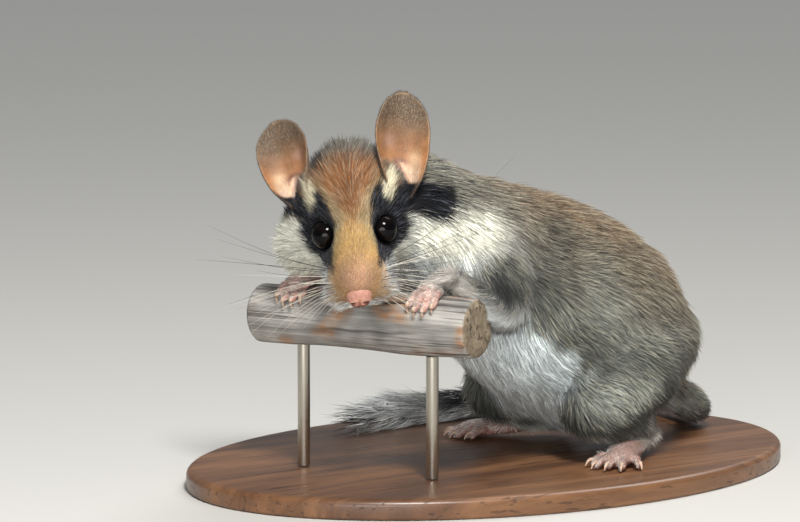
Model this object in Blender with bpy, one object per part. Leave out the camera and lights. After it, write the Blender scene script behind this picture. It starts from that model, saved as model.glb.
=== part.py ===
"""A garden dormouse, life size, as a still display model: it sits on its hind feet on a flat base and leans
its forepaws on a short cut length of weathered branch, which two rods hold up.

Lengths are in millimetres and are made metres by MM. The animal's own frame has -X forward along the trunk,
-Y on its left and +Z up, with the top of the base at z = 0. ANIMAL_AT moves it over the base's centre."""

import math

import bmesh
import bpy
import numpy as np
from mathutils import Vector

MM = 0.001
GAP = 0.3
BASE_THICK = 5.0
ANIMAL_AT = np.array([27.0, -10.0, BASE_THICK])

# The trunk: a straight axis from the rump, pitched up to the chest.
TRUNK_AT = np.array([-2.0, 0.0, 28.5])
TRUNK_PITCH = math.radians(30)
# along the axis, rise of the section's centre, half width, height above the centre, depth below it
TRUNK_STATIONS = (
    (-25.5, -4.0, 0.0, 0.0, 0.0),
    (-20.0, -2.5, 13.5, 15.0, 14.0),
    (-10.0, -0.5, 21.3, 23.0, 22.0),
    (0.0, 0.0, 24.3, 26.0, 25.5),
    (12.0, 0.0, 25.0, 26.5, 26.0),
    (26.0, 0.0, 23.7, 25.0, 24.5),
    (40.0, 0.0, 20.0, 21.5, 21.0),
    (52.0, 0.0, 17.5, 18.5, 17.5),
    (62.0, 0.5, 14.0, 15.5, 13.5),
    (69.0, 1.0, 9.0, 10.5, 8.5),
    (73.0, 1.5, 0.0, 0.0, 0.0),
)

# The neck bends from the chest to the back of the turned head.
NECK_PATH = (
    (-44.0, 0.0, 53.0), (-54.0, 2.0, 59.5), (-63.0, 5.0, 63.5), (-70.0, 6.5, 64.0), (-76.0, 3.0, 62.5),
)
NECK_RADII = (15.5, 16.0, 15.5, 13.5, 9.0)

# The head, from a point midway between the eyes: forward, left and up are unit vectors.
HEAD_AT = np.array([-79.1, -4.1, 59.9])
HEAD_YAW, HEAD_PITCH, HEAD_ROLL = math.radians(-5.4), math.radians(27.0), math.radians(6.8)
FACING = math.radians(-40)
# along (nose forward), rise, half width, height, depth
HEAD_STATIONS = (
    (-22.5, 0.5, 0.0, 0.0, 0.0),
    (-20.0, -0.5, 8.6, 11.8, 8.0),
    (-15.0, -2.0, 14.0, 18.0, 11.5),
    (-9.0, -3.2, 15.8, 18.4, 12.0),
    (-3.5, -3.8, 12.8, 15.2, 11.0),
    (1.5, -4.2, 9.2, 11.6, 9.4),
    (8.0, -4.8, 7.7, 9.2, 7.4),
    (13.0, -5.2, 6.6, 8.0, 5.6),
    (17.0, -5.2, 4.9, 6.0, 4.4),
    (19.6, -4.9, 3.1, 4.0, 3.0),
    (21.2, -4.6, 0.0, 0.0, 0.0),
)
HEAD_ROUNDNESS = 1.85
# centre forward, left (mirrored), up, spread, height of each swelling or hollow of the head
HEAD_FORMS = (
    (-8.0, 14.0, -6.5, 5.2, 2.4),
    (-8.5, 12.5, -11.0, 4.6, 3.4),
    (-1.5, 6.4, 5.4, 2.4, 0.5),
    (1.0, 9.0, 0.6, 3.0, -0.8),
    (7.5, 6.5, -1.0, 3.2, -0.5),
    (14.5, 5.4, -6.0, 2.5, 1.0),
    (17.5, 2.0, -8.0, 1.6, 0.5),
)
EYE_R = 3.6
EYE_AT = (0.5, 6.6, 0.1)
EYE_FACING = (0.66, 0.67, 0.34)
EAR_ROOT = (-9.0, 10.6, 2.5)
EAR_TIPS = {"left": (-21.9, 15.0, 23.2), "right": (-26.5, -17.4, 16.2)}
EAR_FACING = (0.83, 0.22, 0.52)
# share of the length, half width across the opening, half angle of the cup's section in degrees
EAR_STATIONS = (
    (0.0, 2.6, 135.0),
    (0.15, 3.9, 118.0),
    (0.32, 5.5, 86.0),
    (0.5, 6.5, 64.0),
    (0.64, 6.6, 52.0),
    (0.8, 5.9, 42.0),
    (0.92, 4.0, 30.0),
    (1.0, 1.2, 16.0),
)
EAR_THICK = 0.8

# The branch runs across in front of the chest; both ends are sawn.
PERCH_ENDS = np.array([[-58.5, -25.0, 37.0], [-81.5, 31.0, 37.0]])
PERCH_R = 7.0
# turn round the branch, depth as a share of its radius, start and end as shares of its length
PERCH_CRACKS = ((0.6, 0.08, -0.1, 0.6), (2.9, 0.1, 0.35, 1.1), (5.0, 0.07, 0.1, 0.9))
ROD_R = 1.5
ROD_SPREAD = 18.0
BASE_CENTRE = (-27.0, 10.0)
BASE_SEMI = (82.0, 58.0)

# One side's limbs, on the animal's left; the right side has its own paw on the branch.
SHOULDER = (-47.0, 12.0, 52.0)
ELBOW = (-47.5, 21.5, 40.0)
HIP = (7.0, 8.5, 28.0)
THIGH = (-5.0, 12.8, 23.5)
KNEE = (-16.5, 18.5, 15.0)
HEEL = (1.5, 15.5, 4.6)
BALL = (-15.5, 26.8, 2.5)
TOE_TIPS = (
    (-21.6, 23.9, 1.25), (-23.2, 27.3, 1.25), (-22.4, 30.4, 1.25), (-20.3, 33.0, 1.25), (-15.8, 34.0, 1.25),
)

TAIL_PATH = (
    (17.0, 0.0, 16.0), (30.0, 1.5, 8.5), (39.0, 9.0, 4.6), (42.5, 27.0, 3.8), (31.0, 44.0, 3.7),
    (9.0, 52.0, 3.6), (-14.0, 54.0, 3.6), (-34.0, 52.0, 3.8),
)
TAIL_RADII = (5.6, 4.6, 4.0, 3.7, 3.5, 3.4, 3.4, 2.6)
TAIL_SPLITS = (0.36, 0.66)
TUFT_LOCK = 13.0
TUFT_FLARE = 3.4


def unit(vector):
    vector = np.asarray(vector, float)
    return vector / np.linalg.norm(vector)


def head_axes():
    """Columns forward, left and up of the head, turned from the picture's viewpoint."""
    to_view = np.array([math.sin(FACING), -math.cos(FACING), 0.0])
    view_left = -np.array([math.cos(FACING), math.sin(FACING), 0.0])
    level = math.cos(HEAD_YAW) * to_view + math.sin(HEAD_YAW) * view_left
    forward = math.cos(HEAD_PITCH) * level - math.sin(HEAD_PITCH) * np.array([0.0, 0.0, 1.0])
    side = np.cross([0.0, 0.0, 1.0], level)
    up = np.cross(forward, side)
    left = math.cos(HEAD_ROLL) * side + math.sin(HEAD_ROLL) * up
    return np.stack([forward, left, np.cross(forward, left)], axis=1)


HEAD_AXES = head_axes()
TRUNK_AXES = np.array(
    [[-math.cos(TRUNK_PITCH), 0.0, math.sin(TRUNK_PITCH)],
     [0.0, -1.0, 0.0],
     [math.sin(TRUNK_PITCH), 0.0, math.cos(TRUNK_PITCH)]]
).T


def eased(ts, ys, t):
    """The smooth curve through (ts, ys) at t: a cubic with slopes that are harmonic means, so that it never
    overshoots."""
    ts, ys = np.asarray(ts, float), np.asarray(ys, float)
    t = np.clip(t, ts[0], ts[-1])
    step = np.diff(ts)
    rise = np.diff(ys) / step
    slope = np.concatenate([rise[:1], np.zeros(len(ts) - 2), rise[-1:]])
    same_way = rise[:-1] * rise[1:] > 0
    slope[1:-1][same_way] = 2 / (1 / rise[:-1][same_way] + 1 / rise[1:][same_way])
    i = np.clip(np.searchsorted(ts, t, side="right") - 1, 0, len(step) - 1)
    u = (t - ts[i]) / step[i]
    return (
        ys[i] * (1 + 2 * u) * (1 - u) ** 2
        + slope[i] * step[i] * u * (1 - u) ** 2
        + ys[i + 1] * u * u * (3 - 2 * u)
        + slope[i + 1] * step[i] * u * u * (u - 1)
    )


def body_grid(stations, rings, around, roundness=2.0):
    """A long rounded body as a grid of points (ring, place round it): its sections are superellipses whose
    half width, height and depth are read along the axis as squares, so that both ends close round."""
    table = np.array(stations, float)
    mid, half = (table[0, 0] + table[-1, 0]) / 2, (table[-1, 0] - table[0, 0]) / 2
    along = mid - half * np.cos(np.linspace(0, math.pi, rings))
    rise = eased(table[:, 0], table[:, 1], along)
    squares = [eased(table[:, 0], table[:, k] ** 2, along) for k in (2, 3, 4)]
    wide, high, deep = (np.sqrt(np.maximum(square, 0)) for square in squares)
    angle = np.linspace(0, 2 * math.pi, around, endpoint=False)
    c, s = np.cos(angle), np.sin(angle)
    side = wide[:, None] * np.sign(c) * np.abs(c) ** (2 / roundness)
    tall = np.where(s > 0, high[:, None], deep[:, None]) * np.sign(s) * np.abs(s) ** (2 / roundness)
    return np.stack([along[:, None] + 0 * side, side, rise[:, None] + tall], axis=-1)


def grid_normals(grid):
    """Unit normals of a closed grid, from the cross product of its two directions, pointing out."""
    across = np.roll(grid, -1, axis=1) - np.roll(grid, 1, axis=1)
    along = np.gradient(grid, axis=0)
    normal = np.cross(across, along)
    length = np.linalg.norm(normal, axis=-1, keepdims=True)
    normal = normal / np.maximum(length, 1e-9)
    outward = grid - grid.mean(axis=1, keepdims=True)
    return normal * np.where((normal * outward).sum() < 0, -1.0, 1.0)


def head_grid(rings, around):
    """The head in its own frame: the body of HEAD_STATIONS, pushed out or in by the forms of HEAD_FORMS."""
    grid = body_grid(HEAD_STATIONS, rings, around, HEAD_ROUNDNESS)
    push = np.zeros(grid.shape[:2])
    for forward, left, up, spread, height in HEAD_FORMS:
        for side in (1, -1):
            away = ((grid - np.array([forward, side * left, up])) ** 2).sum(axis=-1)
            push += height * np.exp(-away / (2 * spread**2))
    return grid + push[..., None] * grid_normals(grid)


def placed(points, at, axes):
    """Points of a part's own frame in the animal's frame."""
    return np.asarray(at) + np.asarray(points) @ axes.T


def path_points(points, count):
    """Evenly spaced points on a smooth curve through the given ones, and the share of its length at each."""
    points = np.asarray(points, float)
    knots = np.concatenate([[0.0], np.cumsum(np.linalg.norm(np.diff(points, axis=0), axis=1))])
    fine = np.linspace(0, knots[-1], 40 * len(points))
    ends = np.vstack([2 * points[0] - points[1], points, 2 * points[-1] - points[-2]])
    i = np.clip(np.searchsorted(knots, fine, side="right") - 1, 0, len(points) - 2)
    u = ((fine - knots[i]) / (knots[i + 1] - knots[i]))[:, None]
    a, b, c, d = ends[i], ends[i + 1], ends[i + 2], ends[i + 3]
    curve = 0.5 * (2 * b + (c - a) * u + (2 * a - 5 * b + 4 * c - d) * u**2 + (3 * b - a - 3 * c + d) * u**3)
    run = np.concatenate([[0.0], np.cumsum(np.linalg.norm(np.diff(curve, axis=0), axis=1))])
    wanted = np.linspace(0, run[-1], count)
    spaced = np.stack([np.interp(wanted, run, curve[:, k]) for k in range(3)], axis=1)
    return spaced, wanted / run[-1]


def tube_grid(points, radii, rings, around, flat=1.0, side_hint=(0.0, 0.0, 1.0)):
    """A round tube along a smooth path, with round ends. radii are spread evenly along the path; flat is the
    section's height over its width, with the height kept near side_hint."""
    centre, share = path_points(points, rings)
    radius = eased(np.linspace(0, 1, len(radii)), radii, share)
    tangent = np.gradient(centre, axis=0)
    tangent /= np.linalg.norm(tangent, axis=1, keepdims=True)
    bow = np.sin(np.linspace(0, math.pi / 2, 4))[:-1]

    def cap(end, way):
        middle, size, ahead = centre[end], radius[end], tangent[end]
        return [(middle + way * ahead * size * math.sqrt(1 - b * b), size * b, ahead) for b in bow]

    rows = cap(0, -1) + list(zip(centre, radius, tangent)) + cap(-1, 1)[::-1]
    angle = np.linspace(0, 2 * math.pi, around, endpoint=False)
    grid = []
    for middle, size, ahead in rows:
        tall = np.asarray(side_hint, float) - ahead * np.dot(side_hint, ahead)
        tall = unit(tall)
        wide = np.cross(ahead, tall)
        grid.append(middle + size * (np.cos(angle)[:, None] * wide + flat * np.sin(angle)[:, None] * tall))
    return np.array(grid)


def in_collection(obj):
    bpy.context.scene.collection.objects.link(obj)
    return obj


def solid(name, grid):
    """A closed mesh object from a grid whose first and last rings meet in a point each."""
    grid = (np.asarray(grid) + ANIMAL_AT) * MM
    rings, around = grid.shape[:2]
    rows = rings - 2
    ends = [tuple(grid[end].mean(axis=0)) for end in (0, -1)]
    points = [ends[0], *map(tuple, grid[1:-1].reshape(-1, 3)), ends[1]]
    last = len(points) - 1

    def at(row, place):
        return 1 + row * around + place % around

    faces = [(0, at(0, j + 1), at(0, j)) for j in range(around)]
    faces += [
        (at(i, j), at(i, j + 1), at(i + 1, j + 1), at(i + 1, j))
        for i in range(rows - 1) for j in range(around)
    ]
    faces += [(last, at(rows - 1, j), at(rows - 1, j + 1)) for j in range(around)]
    mesh = bpy.data.meshes.new(name)
    mesh.from_pydata(points, [], faces)
    shape = bmesh.new()
    shape.from_mesh(mesh)
    bmesh.ops.recalc_face_normals(shape, faces=shape.faces)
    shape.to_mesh(mesh)
    shape.free()
    return in_collection(bpy.data.objects.new(name, mesh))


def apply_modifiers(obj):
    bpy.context.view_layer.update()
    graph = bpy.context.evaluated_depsgraph_get()
    mesh = bpy.data.meshes.new_from_object(obj.evaluated_get(graph))
    obj.modifiers.clear()
    old, obj.data = obj.data, mesh
    bpy.data.meshes.remove(old)


def fused(name, pieces):
    """One Boolean union of closed pieces, applied; the pieces are removed."""
    if len(pieces) == 1:
        pieces[0].name = name
        return pieces[0]
    first, others = pieces[0], bpy.data.collections.new(name + "_pieces")
    for piece in pieces[1:]:
        others.objects.link(piece)
    join = first.modifiers.new("join", "BOOLEAN")
    join.operation, join.operand_type, join.collection, join.solver = "UNION", "COLLECTION", others, "EXACT"
    join.use_self = True
    apply_modifiers(first)
    for piece in pieces[1:]:
        bpy.data.objects.remove(piece)
    bpy.data.collections.remove(others)
    first.name = name
    return first


def melded(name, pieces, voxel, triangles):
    """Closed pieces run together into one body by a voxel remesh, eased, and thinned to a triangle count."""
    first = pieces[0]
    shape = bmesh.new()
    for piece in pieces:
        shape.from_mesh(piece.data)
    shape.to_mesh(first.data)
    shape.free()
    for piece in pieces[1:]:
        bpy.data.objects.remove(piece)
    remesh = first.modifiers.new("run_together", "REMESH")
    remesh.mode, remesh.voxel_size = "VOXEL", voxel * MM
    ease = first.modifiers.new("ease", "SMOOTH")
    ease.factor, ease.iterations = 0.5, 2
    apply_modifiers(first)
    thin = first.modifiers.new("thin", "DECIMATE")
    thin.ratio = min(1.0, triangles / max(1, sum(len(p.vertices) - 2 for p in first.data.polygons)))
    apply_modifiers(first)
    first.name = name
    return keep_largest(first)


def grown(obj, by=GAP):
    """A copy of a solid with its surface moved out, for use as a cutter."""
    copy = in_collection(bpy.data.objects.new(obj.name + "_grown", obj.data.copy()))
    shape = bmesh.new()
    shape.from_mesh(copy.data)
    shape.normal_update()
    moved = [v.co + v.normal * by * MM * min(v.calc_shell_factor(), 1.4) for v in shape.verts]
    for v, co in zip(shape.verts, moved):
        v.co = co
    shape.to_mesh(copy.data)
    shape.free()
    return copy


def keep_largest(obj):
    """Drops every closed surface but the one that holds the most."""
    shape = bmesh.new()
    shape.from_mesh(obj.data)
    left, islands = set(shape.verts), []
    while left:
        island, edge = set(), [left.pop()]
        while edge:
            vert = edge.pop()
            island.add(vert)
            for link in vert.link_edges:
                other = link.other_vert(vert)
                if other in left:
                    left.discard(other)
                    edge.append(other)
        islands.append(island)
    if len(islands) > 1:
        def span(island):
            co = np.array([v.co for v in island])
            return float(np.prod(co.max(axis=0) - co.min(axis=0) + 1e-6))
        islands.sort(key=span)
        bmesh.ops.delete(shape, geom=[v for island in islands[:-1] for v in island], context="VERTS")
    shape.to_mesh(obj.data)
    shape.free()
    return obj


def carve(obj, *cutters, by=GAP, own=False):
    """Cuts obj clear of the cutters, grown by the gap unless own says that they are cutters only."""
    for cutter in cutters:
        tool = cutter if own else grown(cutter, by)
        cut = obj.modifiers.new("cut", "BOOLEAN")
        cut.operation, cut.object, cut.solver = "DIFFERENCE", tool, "EXACT"
        apply_modifiers(obj)
        bpy.data.objects.remove(tool)
    return keep_largest(obj)


def block(name, low, high):
    """A box between two corners, in the animal's frame."""
    low, high = (np.asarray(low, float) + ANIMAL_AT) * MM, (np.asarray(high, float) + ANIMAL_AT) * MM
    mesh = bpy.data.meshes.new(name)
    shape = bmesh.new()
    bmesh.ops.create_cube(shape, size=1.0)
    for v in shape.verts:
        v.co = Vector([(low[k] + high[k]) / 2 + v.co[k] * (high[k] - low[k]) for k in range(3)])
    shape.to_mesh(mesh)
    shape.free()
    return in_collection(bpy.data.objects.new(name, mesh))


def floor_cut():
    """Everything lower than the gap above the base."""
    return block("floor_cut", (-200, -200, -60), (200, 200, GAP))


def paint(obj, colour, roughness, metallic=0.0):
    material = bpy.data.materials.get("finish_" + obj.name) or bpy.data.materials.new("finish_" + obj.name)
    material.use_nodes = True
    shader = material.node_tree.nodes["Principled BSDF"]
    shader.inputs["Base Color"].default_value = (*colour, 1.0)
    shader.inputs["Roughness"].default_value = roughness
    shader.inputs["Metallic"].default_value = metallic
    obj.data.materials.clear()
    obj.data.materials.append(material)
    obj.data.shade_smooth()
    obj.data.set_sharp_from_angle(angle=math.radians(50))
    return obj


def lathe_ring(centre, normal, radius, thick, around=16, section=6):
    """A closed round ring (a torus) about a centre, in the plane across normal."""
    normal = unit(normal)
    one = unit(np.cross(normal, (0.3, 0.1, 0.95)))
    two = np.cross(normal, one)
    turn = np.linspace(0, 2 * math.pi, around, endpoint=False)
    part = np.linspace(0, 2 * math.pi, section, endpoint=False)
    out = np.cos(turn)[:, None] * one + np.sin(turn)[:, None] * two
    return (
        np.asarray(centre)
        + out[:, None, :] * (radius + thick * np.cos(part))[None, :, None]
        + normal * (thick * np.sin(part))[None, :, None]
    )


def ring_solid(name, grid):
    """A closed mesh object from a grid that closes both ways."""
    grid = (np.asarray(grid) + ANIMAL_AT) * MM
    rings, around = grid.shape[:2]
    faces = [
        (i * around + j, i * around + (j + 1) % around, (i + 1) % rings * around + (j + 1) % around,
         (i + 1) % rings * around + j)
        for i in range(rings) for j in range(around)
    ]
    return from_faces(name, grid.reshape(-1, 3), faces)


def from_faces(name, points, faces):
    mesh = bpy.data.meshes.new(name)
    mesh.from_pydata([tuple(p) for p in points], [], faces)
    shape = bmesh.new()
    shape.from_mesh(mesh)
    bmesh.ops.recalc_face_normals(shape, faces=shape.faces)
    shape.to_mesh(mesh)
    shape.free()
    return in_collection(bpy.data.objects.new(name, mesh))


def leaf_shell(name, outer, inner):
    """A closed thin shell between two grids of the same size, joined along their four borders."""
    rows, cols = outer.shape[:2]
    points = (np.concatenate([outer.reshape(-1, 3), inner.reshape(-1, 3)]) + ANIMAL_AT) * MM
    shift = rows * cols

    def at(i, j):
        return i * cols + j

    faces = []
    for i in range(rows - 1):
        for j in range(cols - 1):
            quad = (at(i, j), at(i, j + 1), at(i + 1, j + 1), at(i + 1, j))
            faces.append(quad)
            faces.append(tuple(shift + k for k in reversed(quad)))
    border = [at(0, j) for j in range(cols)] + [at(i, cols - 1) for i in range(1, rows)]
    border += [at(rows - 1, j) for j in range(cols - 2, -1, -1)] + [at(i, 0) for i in range(rows - 2, 0, -1)]
    for a, b in zip(border, border[1:] + border[:1]):
        faces.append((b, a, shift + a, shift + b))
    return from_faces(name, points, faces)


def ball(name, centre, radius, rings=11, around=16):
    turn = np.linspace(0, math.pi, rings)
    angle = np.linspace(0, 2 * math.pi, around, endpoint=False)
    grid = np.asarray(centre) + radius * np.stack(
        [np.sin(turn)[:, None] * np.cos(angle), np.sin(turn)[:, None] * np.sin(angle),
         np.cos(turn)[:, None] + 0 * angle], axis=-1)
    return solid(name, grid)


def mirrored(points, side):
    """Points of the left limbs as they are for the animal's left (-Y), or turned over for its right."""
    points = np.array(points, float)
    points[..., 1] *= -1 if side == "left" else 1
    return points


def make_torso():
    grid = placed(body_grid(TRUNK_STATIONS, 22, 24), TRUNK_AT, TRUNK_AXES)
    return carve(solid("torso", grid), floor_cut(), own=True)


def make_neck():
    return solid("neck", tube_grid(NECK_PATH, NECK_RADII, 9, 20))


def head_point(local):
    return placed(local, HEAD_AT, HEAD_AXES)


def surface_from(shape, origin, direction):
    """The head's outermost surface along a ray from inside it, in the animal's frame."""
    start = Vector((head_point(origin) + ANIMAL_AT) * MM)
    ahead = Vector(HEAD_AXES @ np.asarray(direction, float)).normalized()
    found, place, _, _ = shape.ray_cast(start, ahead)
    return np.array(place) / MM - ANIMAL_AT if found else head_point(np.add(origin, direction))


def make_head():
    head = solid("head", head_point(head_grid(26, 26)))
    bpy.context.view_layer.update()
    mouth = []
    for turn in np.linspace(-74, 74, 25):
        swing = math.radians(turn)
        drop = 0.9 * math.cos(swing) - 0.5 * abs(math.sin(swing)) ** 3
        toward = (math.cos(swing), math.sin(swing), -0.06 - 0.02 * drop)
        mouth.append(surface_from(head, (8.0, 0.0, -8.6), toward))
    lids = []
    for side in (1, -1):
        eye = np.array(EYE_AT) * (1, side, 1)
        facing = unit(np.array(EYE_FACING) * (1, side, 1))
        rim = lathe_ring(eye + facing * 1.95, facing, 3.4, 0.62)
        lids.append(ring_solid("lid", head_point(rim)))
    pad = tube_grid(((17.5, 0, -5.6), (20.0, 0, -5.3), (21.2, 0, -5.0)), (2.4, 2.5, 1.9), 5, 12, flat=0.8)
    head = fused("head", [head, solid("nose", head_point(pad)), *lids])
    lips = tube_grid(mouth, (0.15, 0.45, 0.5, 0.45, 0.15), 22, 6)
    head = carve(head, solid("mouth_cut", lips), own=True)
    for side in (1, -1):
        nostril = ((19.4, 0.9 * side, -5.9), (21.8, 1.55 * side, -5.5), (23.0, 2.6 * side, -5.0))
        hole = tube_grid(nostril, (0.5, 0.6, 0.7), 4, 8)
        head = carve(head, solid("nostril_cut", head_point(hole)), own=True)
    return head


def make_eye(side):
    sign = 1 if side == "left" else -1
    return ball("eye_" + side, head_point(np.array(EYE_AT) * (1, sign, 1)), EYE_R)


def ear_grids(side, rows, cols):
    """The outer (back) and inner (cup) faces of an ear, in the animal's frame. Each section across the ear
    is an arc that opens toward EAR_FACING; its half angle is past 90 degrees at the root, a funnel."""
    sign = 1 if side == "left" else -1
    root, tip = np.array(EAR_ROOT) * (1, sign, 1), np.array(EAR_TIPS[side])
    up = unit(tip - root)
    facing = np.array(EAR_FACING) * (1, sign, 1)
    facing = unit(facing - up * (facing @ up))
    out = np.cross(up, facing) * sign
    out = out if out[1] * sign > 0 else -out
    share = 0.5 * (1 - np.cos(math.pi * np.linspace(0, 1, rows))) * 0.6 + np.linspace(0, 1, rows) * 0.4
    table = np.array(EAR_STATIONS)
    wide = eased(table[:, 0], table[:, 1], share)
    half = np.radians(eased(table[:, 0], table[:, 2], share))
    radius = wide / np.sin(np.minimum(half, math.pi / 2))
    across = np.linspace(-1, 1, cols)
    turn = half[:, None] * across
    bend = 2.2 * share**2
    spine = root + (tip - root) * share[:, None] - facing * bend[:, None]
    forward = (1 - np.cos(turn))[..., None] * facing
    sideways = np.sin(turn)[..., None] * out
    outer = spine[:, None, :] + radius[:, None, None] * (forward + sideways)
    rim = np.minimum(1 - np.abs(across), 0.35) / 0.35
    thick = EAR_THICK * (0.62 + 0.38 * rim)[None, :] * (1 - 0.25 * share)[:, None]
    inward = np.cos(turn)[..., None] * facing - np.sin(turn)[..., None] * out
    return head_point(outer), head_point(outer + thick[..., None] * inward)


def make_ear(side):
    return leaf_shell("ear_" + side, *ear_grids(side, 12, 11))


def perch_axes():
    along = unit(PERCH_ENDS[1] - PERCH_ENDS[0])
    up = np.array([0.0, 0.0, 1.0])
    return along, unit(np.cross(up, along)), up


def on_perch(run, turn, height):
    """A point over the branch: run along it, turned forward from its top in degrees, height over bark."""
    along, ahead, up = perch_axes()
    turn = math.radians(turn)
    reach = PERCH_R + height
    return PERCH_ENDS[0] + along * run + reach * (math.sin(turn) * ahead + math.cos(turn) * up)


def make_perch():
    """The branch: a slightly uneven round section, furrowed by shrinkage cracks, with sawn ends."""
    along, ahead, up = perch_axes()
    length = float(np.linalg.norm(PERCH_ENDS[1] - PERCH_ENDS[0]))
    runs = np.concatenate([[0.0, 0.0, 0.5], np.linspace(3, length - 3, 15), [length - 0.5, length, length]])
    rows = []
    for k, run in enumerate(runs):
        share = run / length
        size = PERCH_R * (1 + 0.035 * math.sin(5.1 * share + 0.6) - 0.02 * math.cos(11 * share))
        size *= 0.0 if k in (0, len(runs) - 1) else (0.94 if k in (1, len(runs) - 2) else 1.0)
        turn = np.linspace(0, 2 * math.pi, 30, endpoint=False)
        uneven = 1 + 0.03 * np.sin(2 * turn + 2 * share) + 0.018 * np.sin(3 * turn + 1.3 + 3 * share)
        for where, depth, start, end in PERCH_CRACKS:
            if start < share < end:
                near = np.abs((turn - where - 0.25 * share + math.pi) % (2 * math.pi) - math.pi)
                open_by = math.sin(math.pi * (share - start) / (end - start))
                uneven -= depth * np.exp(-((near / 0.1) ** 2)) * open_by
        circle = size * uneven
        rows.append(PERCH_ENDS[0] + along * run + circle[:, None] * (
            np.sin(turn)[:, None] * ahead + np.cos(turn)[:, None] * up))
    return solid("perch", rows)


def make_foreleg(side, wrist):
    path = [*mirrored([SHOULDER, ELBOW], side), wrist]
    middle = mirrored([-46.0, 19.0, 45.5], side)
    path = [path[0], middle, path[1], (path[1] * 0.45 + np.array(wrist) * 0.55), wrist]
    leg = tube_grid(path, (8.5, 7.2, 5.2, 4.4, 3.0), 11, 12, side_hint=(0.2, 1, 0))
    return solid("foreleg_" + side, leg)


def make_forepaw(side, wrist, run):
    """A paw laid over the branch: the palm and four fingers, each with a claw."""
    back = (np.array(wrist) + on_perch(run, -6, 3.4)) / 2
    palm = [wrist, back, on_perch(run, -2, 2.4), on_perch(run, 16, 1.9)]
    pieces = [solid("palm", tube_grid(palm, (3.0, 3.0, 3.2, 2.9), 8, 14, flat=0.66))]
    for k, across in enumerate((-3.3, -1.15, 1.15, 3.3)):
        reach = (46, 55, 55, 47)[k]
        turns = np.linspace(8, reach, 5)
        finger = [on_perch(run + across * (0.7 + 0.3 * n / 4), t, 1.35) for n, t in enumerate(turns)]
        pieces.append(solid("finger", tube_grid(finger, (1.15, 1.1, 1.0, 1.0, 0.85), 8, 10)))
        bends = ((reach - 2, 1.7), (reach + 6, 1.75), (reach + 15, 0.55))
        claw = [on_perch(run + across, turn, height) for turn, height in bends]
        pieces.append(solid("claw", tube_grid(claw, (0.6, 0.5, 0.18), 5, 7)))
    return melded("forepaw_" + side, pieces, 0.32, 760)


def make_hindleg(side):
    thigh = tube_grid(mirrored([HIP, THIGH, KNEE], side), (14.5, 15.8, 10.0), 12, 22, side_hint=(0, 1, 0.3))
    shank_mid = (-8.5, 19.0, 9.0)
    shank = tube_grid(mirrored([KNEE, shank_mid, HEEL], side), (8.6, 7.2, 4.4), 8, 16, side_hint=(0, 1, 0))
    return melded("hindleg_" + side, [solid("thigh", thigh), solid("shank", shank)], 1.0, 620)


def make_hindfoot(side):
    """The long hind foot, flat on the base: the sole and five toes, each with a claw."""
    heel, ball_at = np.array(HEEL), np.array(BALL)
    middle = (heel + ball_at) / 2 + np.array([0, 0, 0.1])
    sole = tube_grid(mirrored([heel, middle, ball_at, ball_at + (ball_at - heel) * 0.12], side),
                     (3.9, 3.7, 4.0, 3.6), 9, 16, flat=0.62)
    pieces = [solid("sole", sole)]
    ahead = unit((ball_at - heel) * (1, 1, 0))
    across = np.array([-ahead[1], ahead[0], 0.0])
    for k, tip in enumerate(TOE_TIPS):
        tip = np.array(tip)
        root = ball_at + across * (2 - k) * -1.35 * -1 + ahead * (0.5 - 0.45 * abs(k - 2) ** 1.6)
        root[2] = 1.9
        knuckle = root * 0.45 + tip * 0.55 + np.array([0, 0, 0.75])
        toe = mirrored([root, knuckle, tip], side)
        pieces.append(solid("toe", tube_grid(toe, (1.3, 1.2, 1.0), 8, 10)))
        way = unit((tip - root) * (1, 1, 0))
        claw = [tip + way * far + (0, 0, rise) for far, rise in ((0.0, 0.35), (1.3, 0.4), (2.7, -0.45))]
        pieces.append(solid("claw", tube_grid(mirrored(claw, side), (0.62, 0.5, 0.2), 5, 7)))
    return carve(melded("hindfoot_" + side, pieces, 0.36, 760), floor_cut(), own=True)


def tail_piece(start, end):
    """Points and radii of the tail between two shares of its length."""
    centre, share = path_points(TAIL_PATH, 61)
    radius = eased(np.linspace(0, 1, len(TAIL_RADII)), TAIL_RADII, share)
    wanted = np.linspace(start, end, 9)
    points = np.stack([np.interp(wanted, share, centre[:, k]) for k in range(3)], axis=1)
    return points, np.interp(wanted, share, radius)


def make_tail():
    nodes = []
    first, second = TAIL_SPLITS
    for name, start, end in (("tail_base", 0.0, first), ("tail_middle", first, second)):
        points, radii = tail_piece(start, end)
        nodes.append(solid(name, tube_grid(points, radii, 9, 12)))
    nodes.append(make_tuft())
    return [carve(node, floor_cut(), own=True) for node in nodes]


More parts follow.
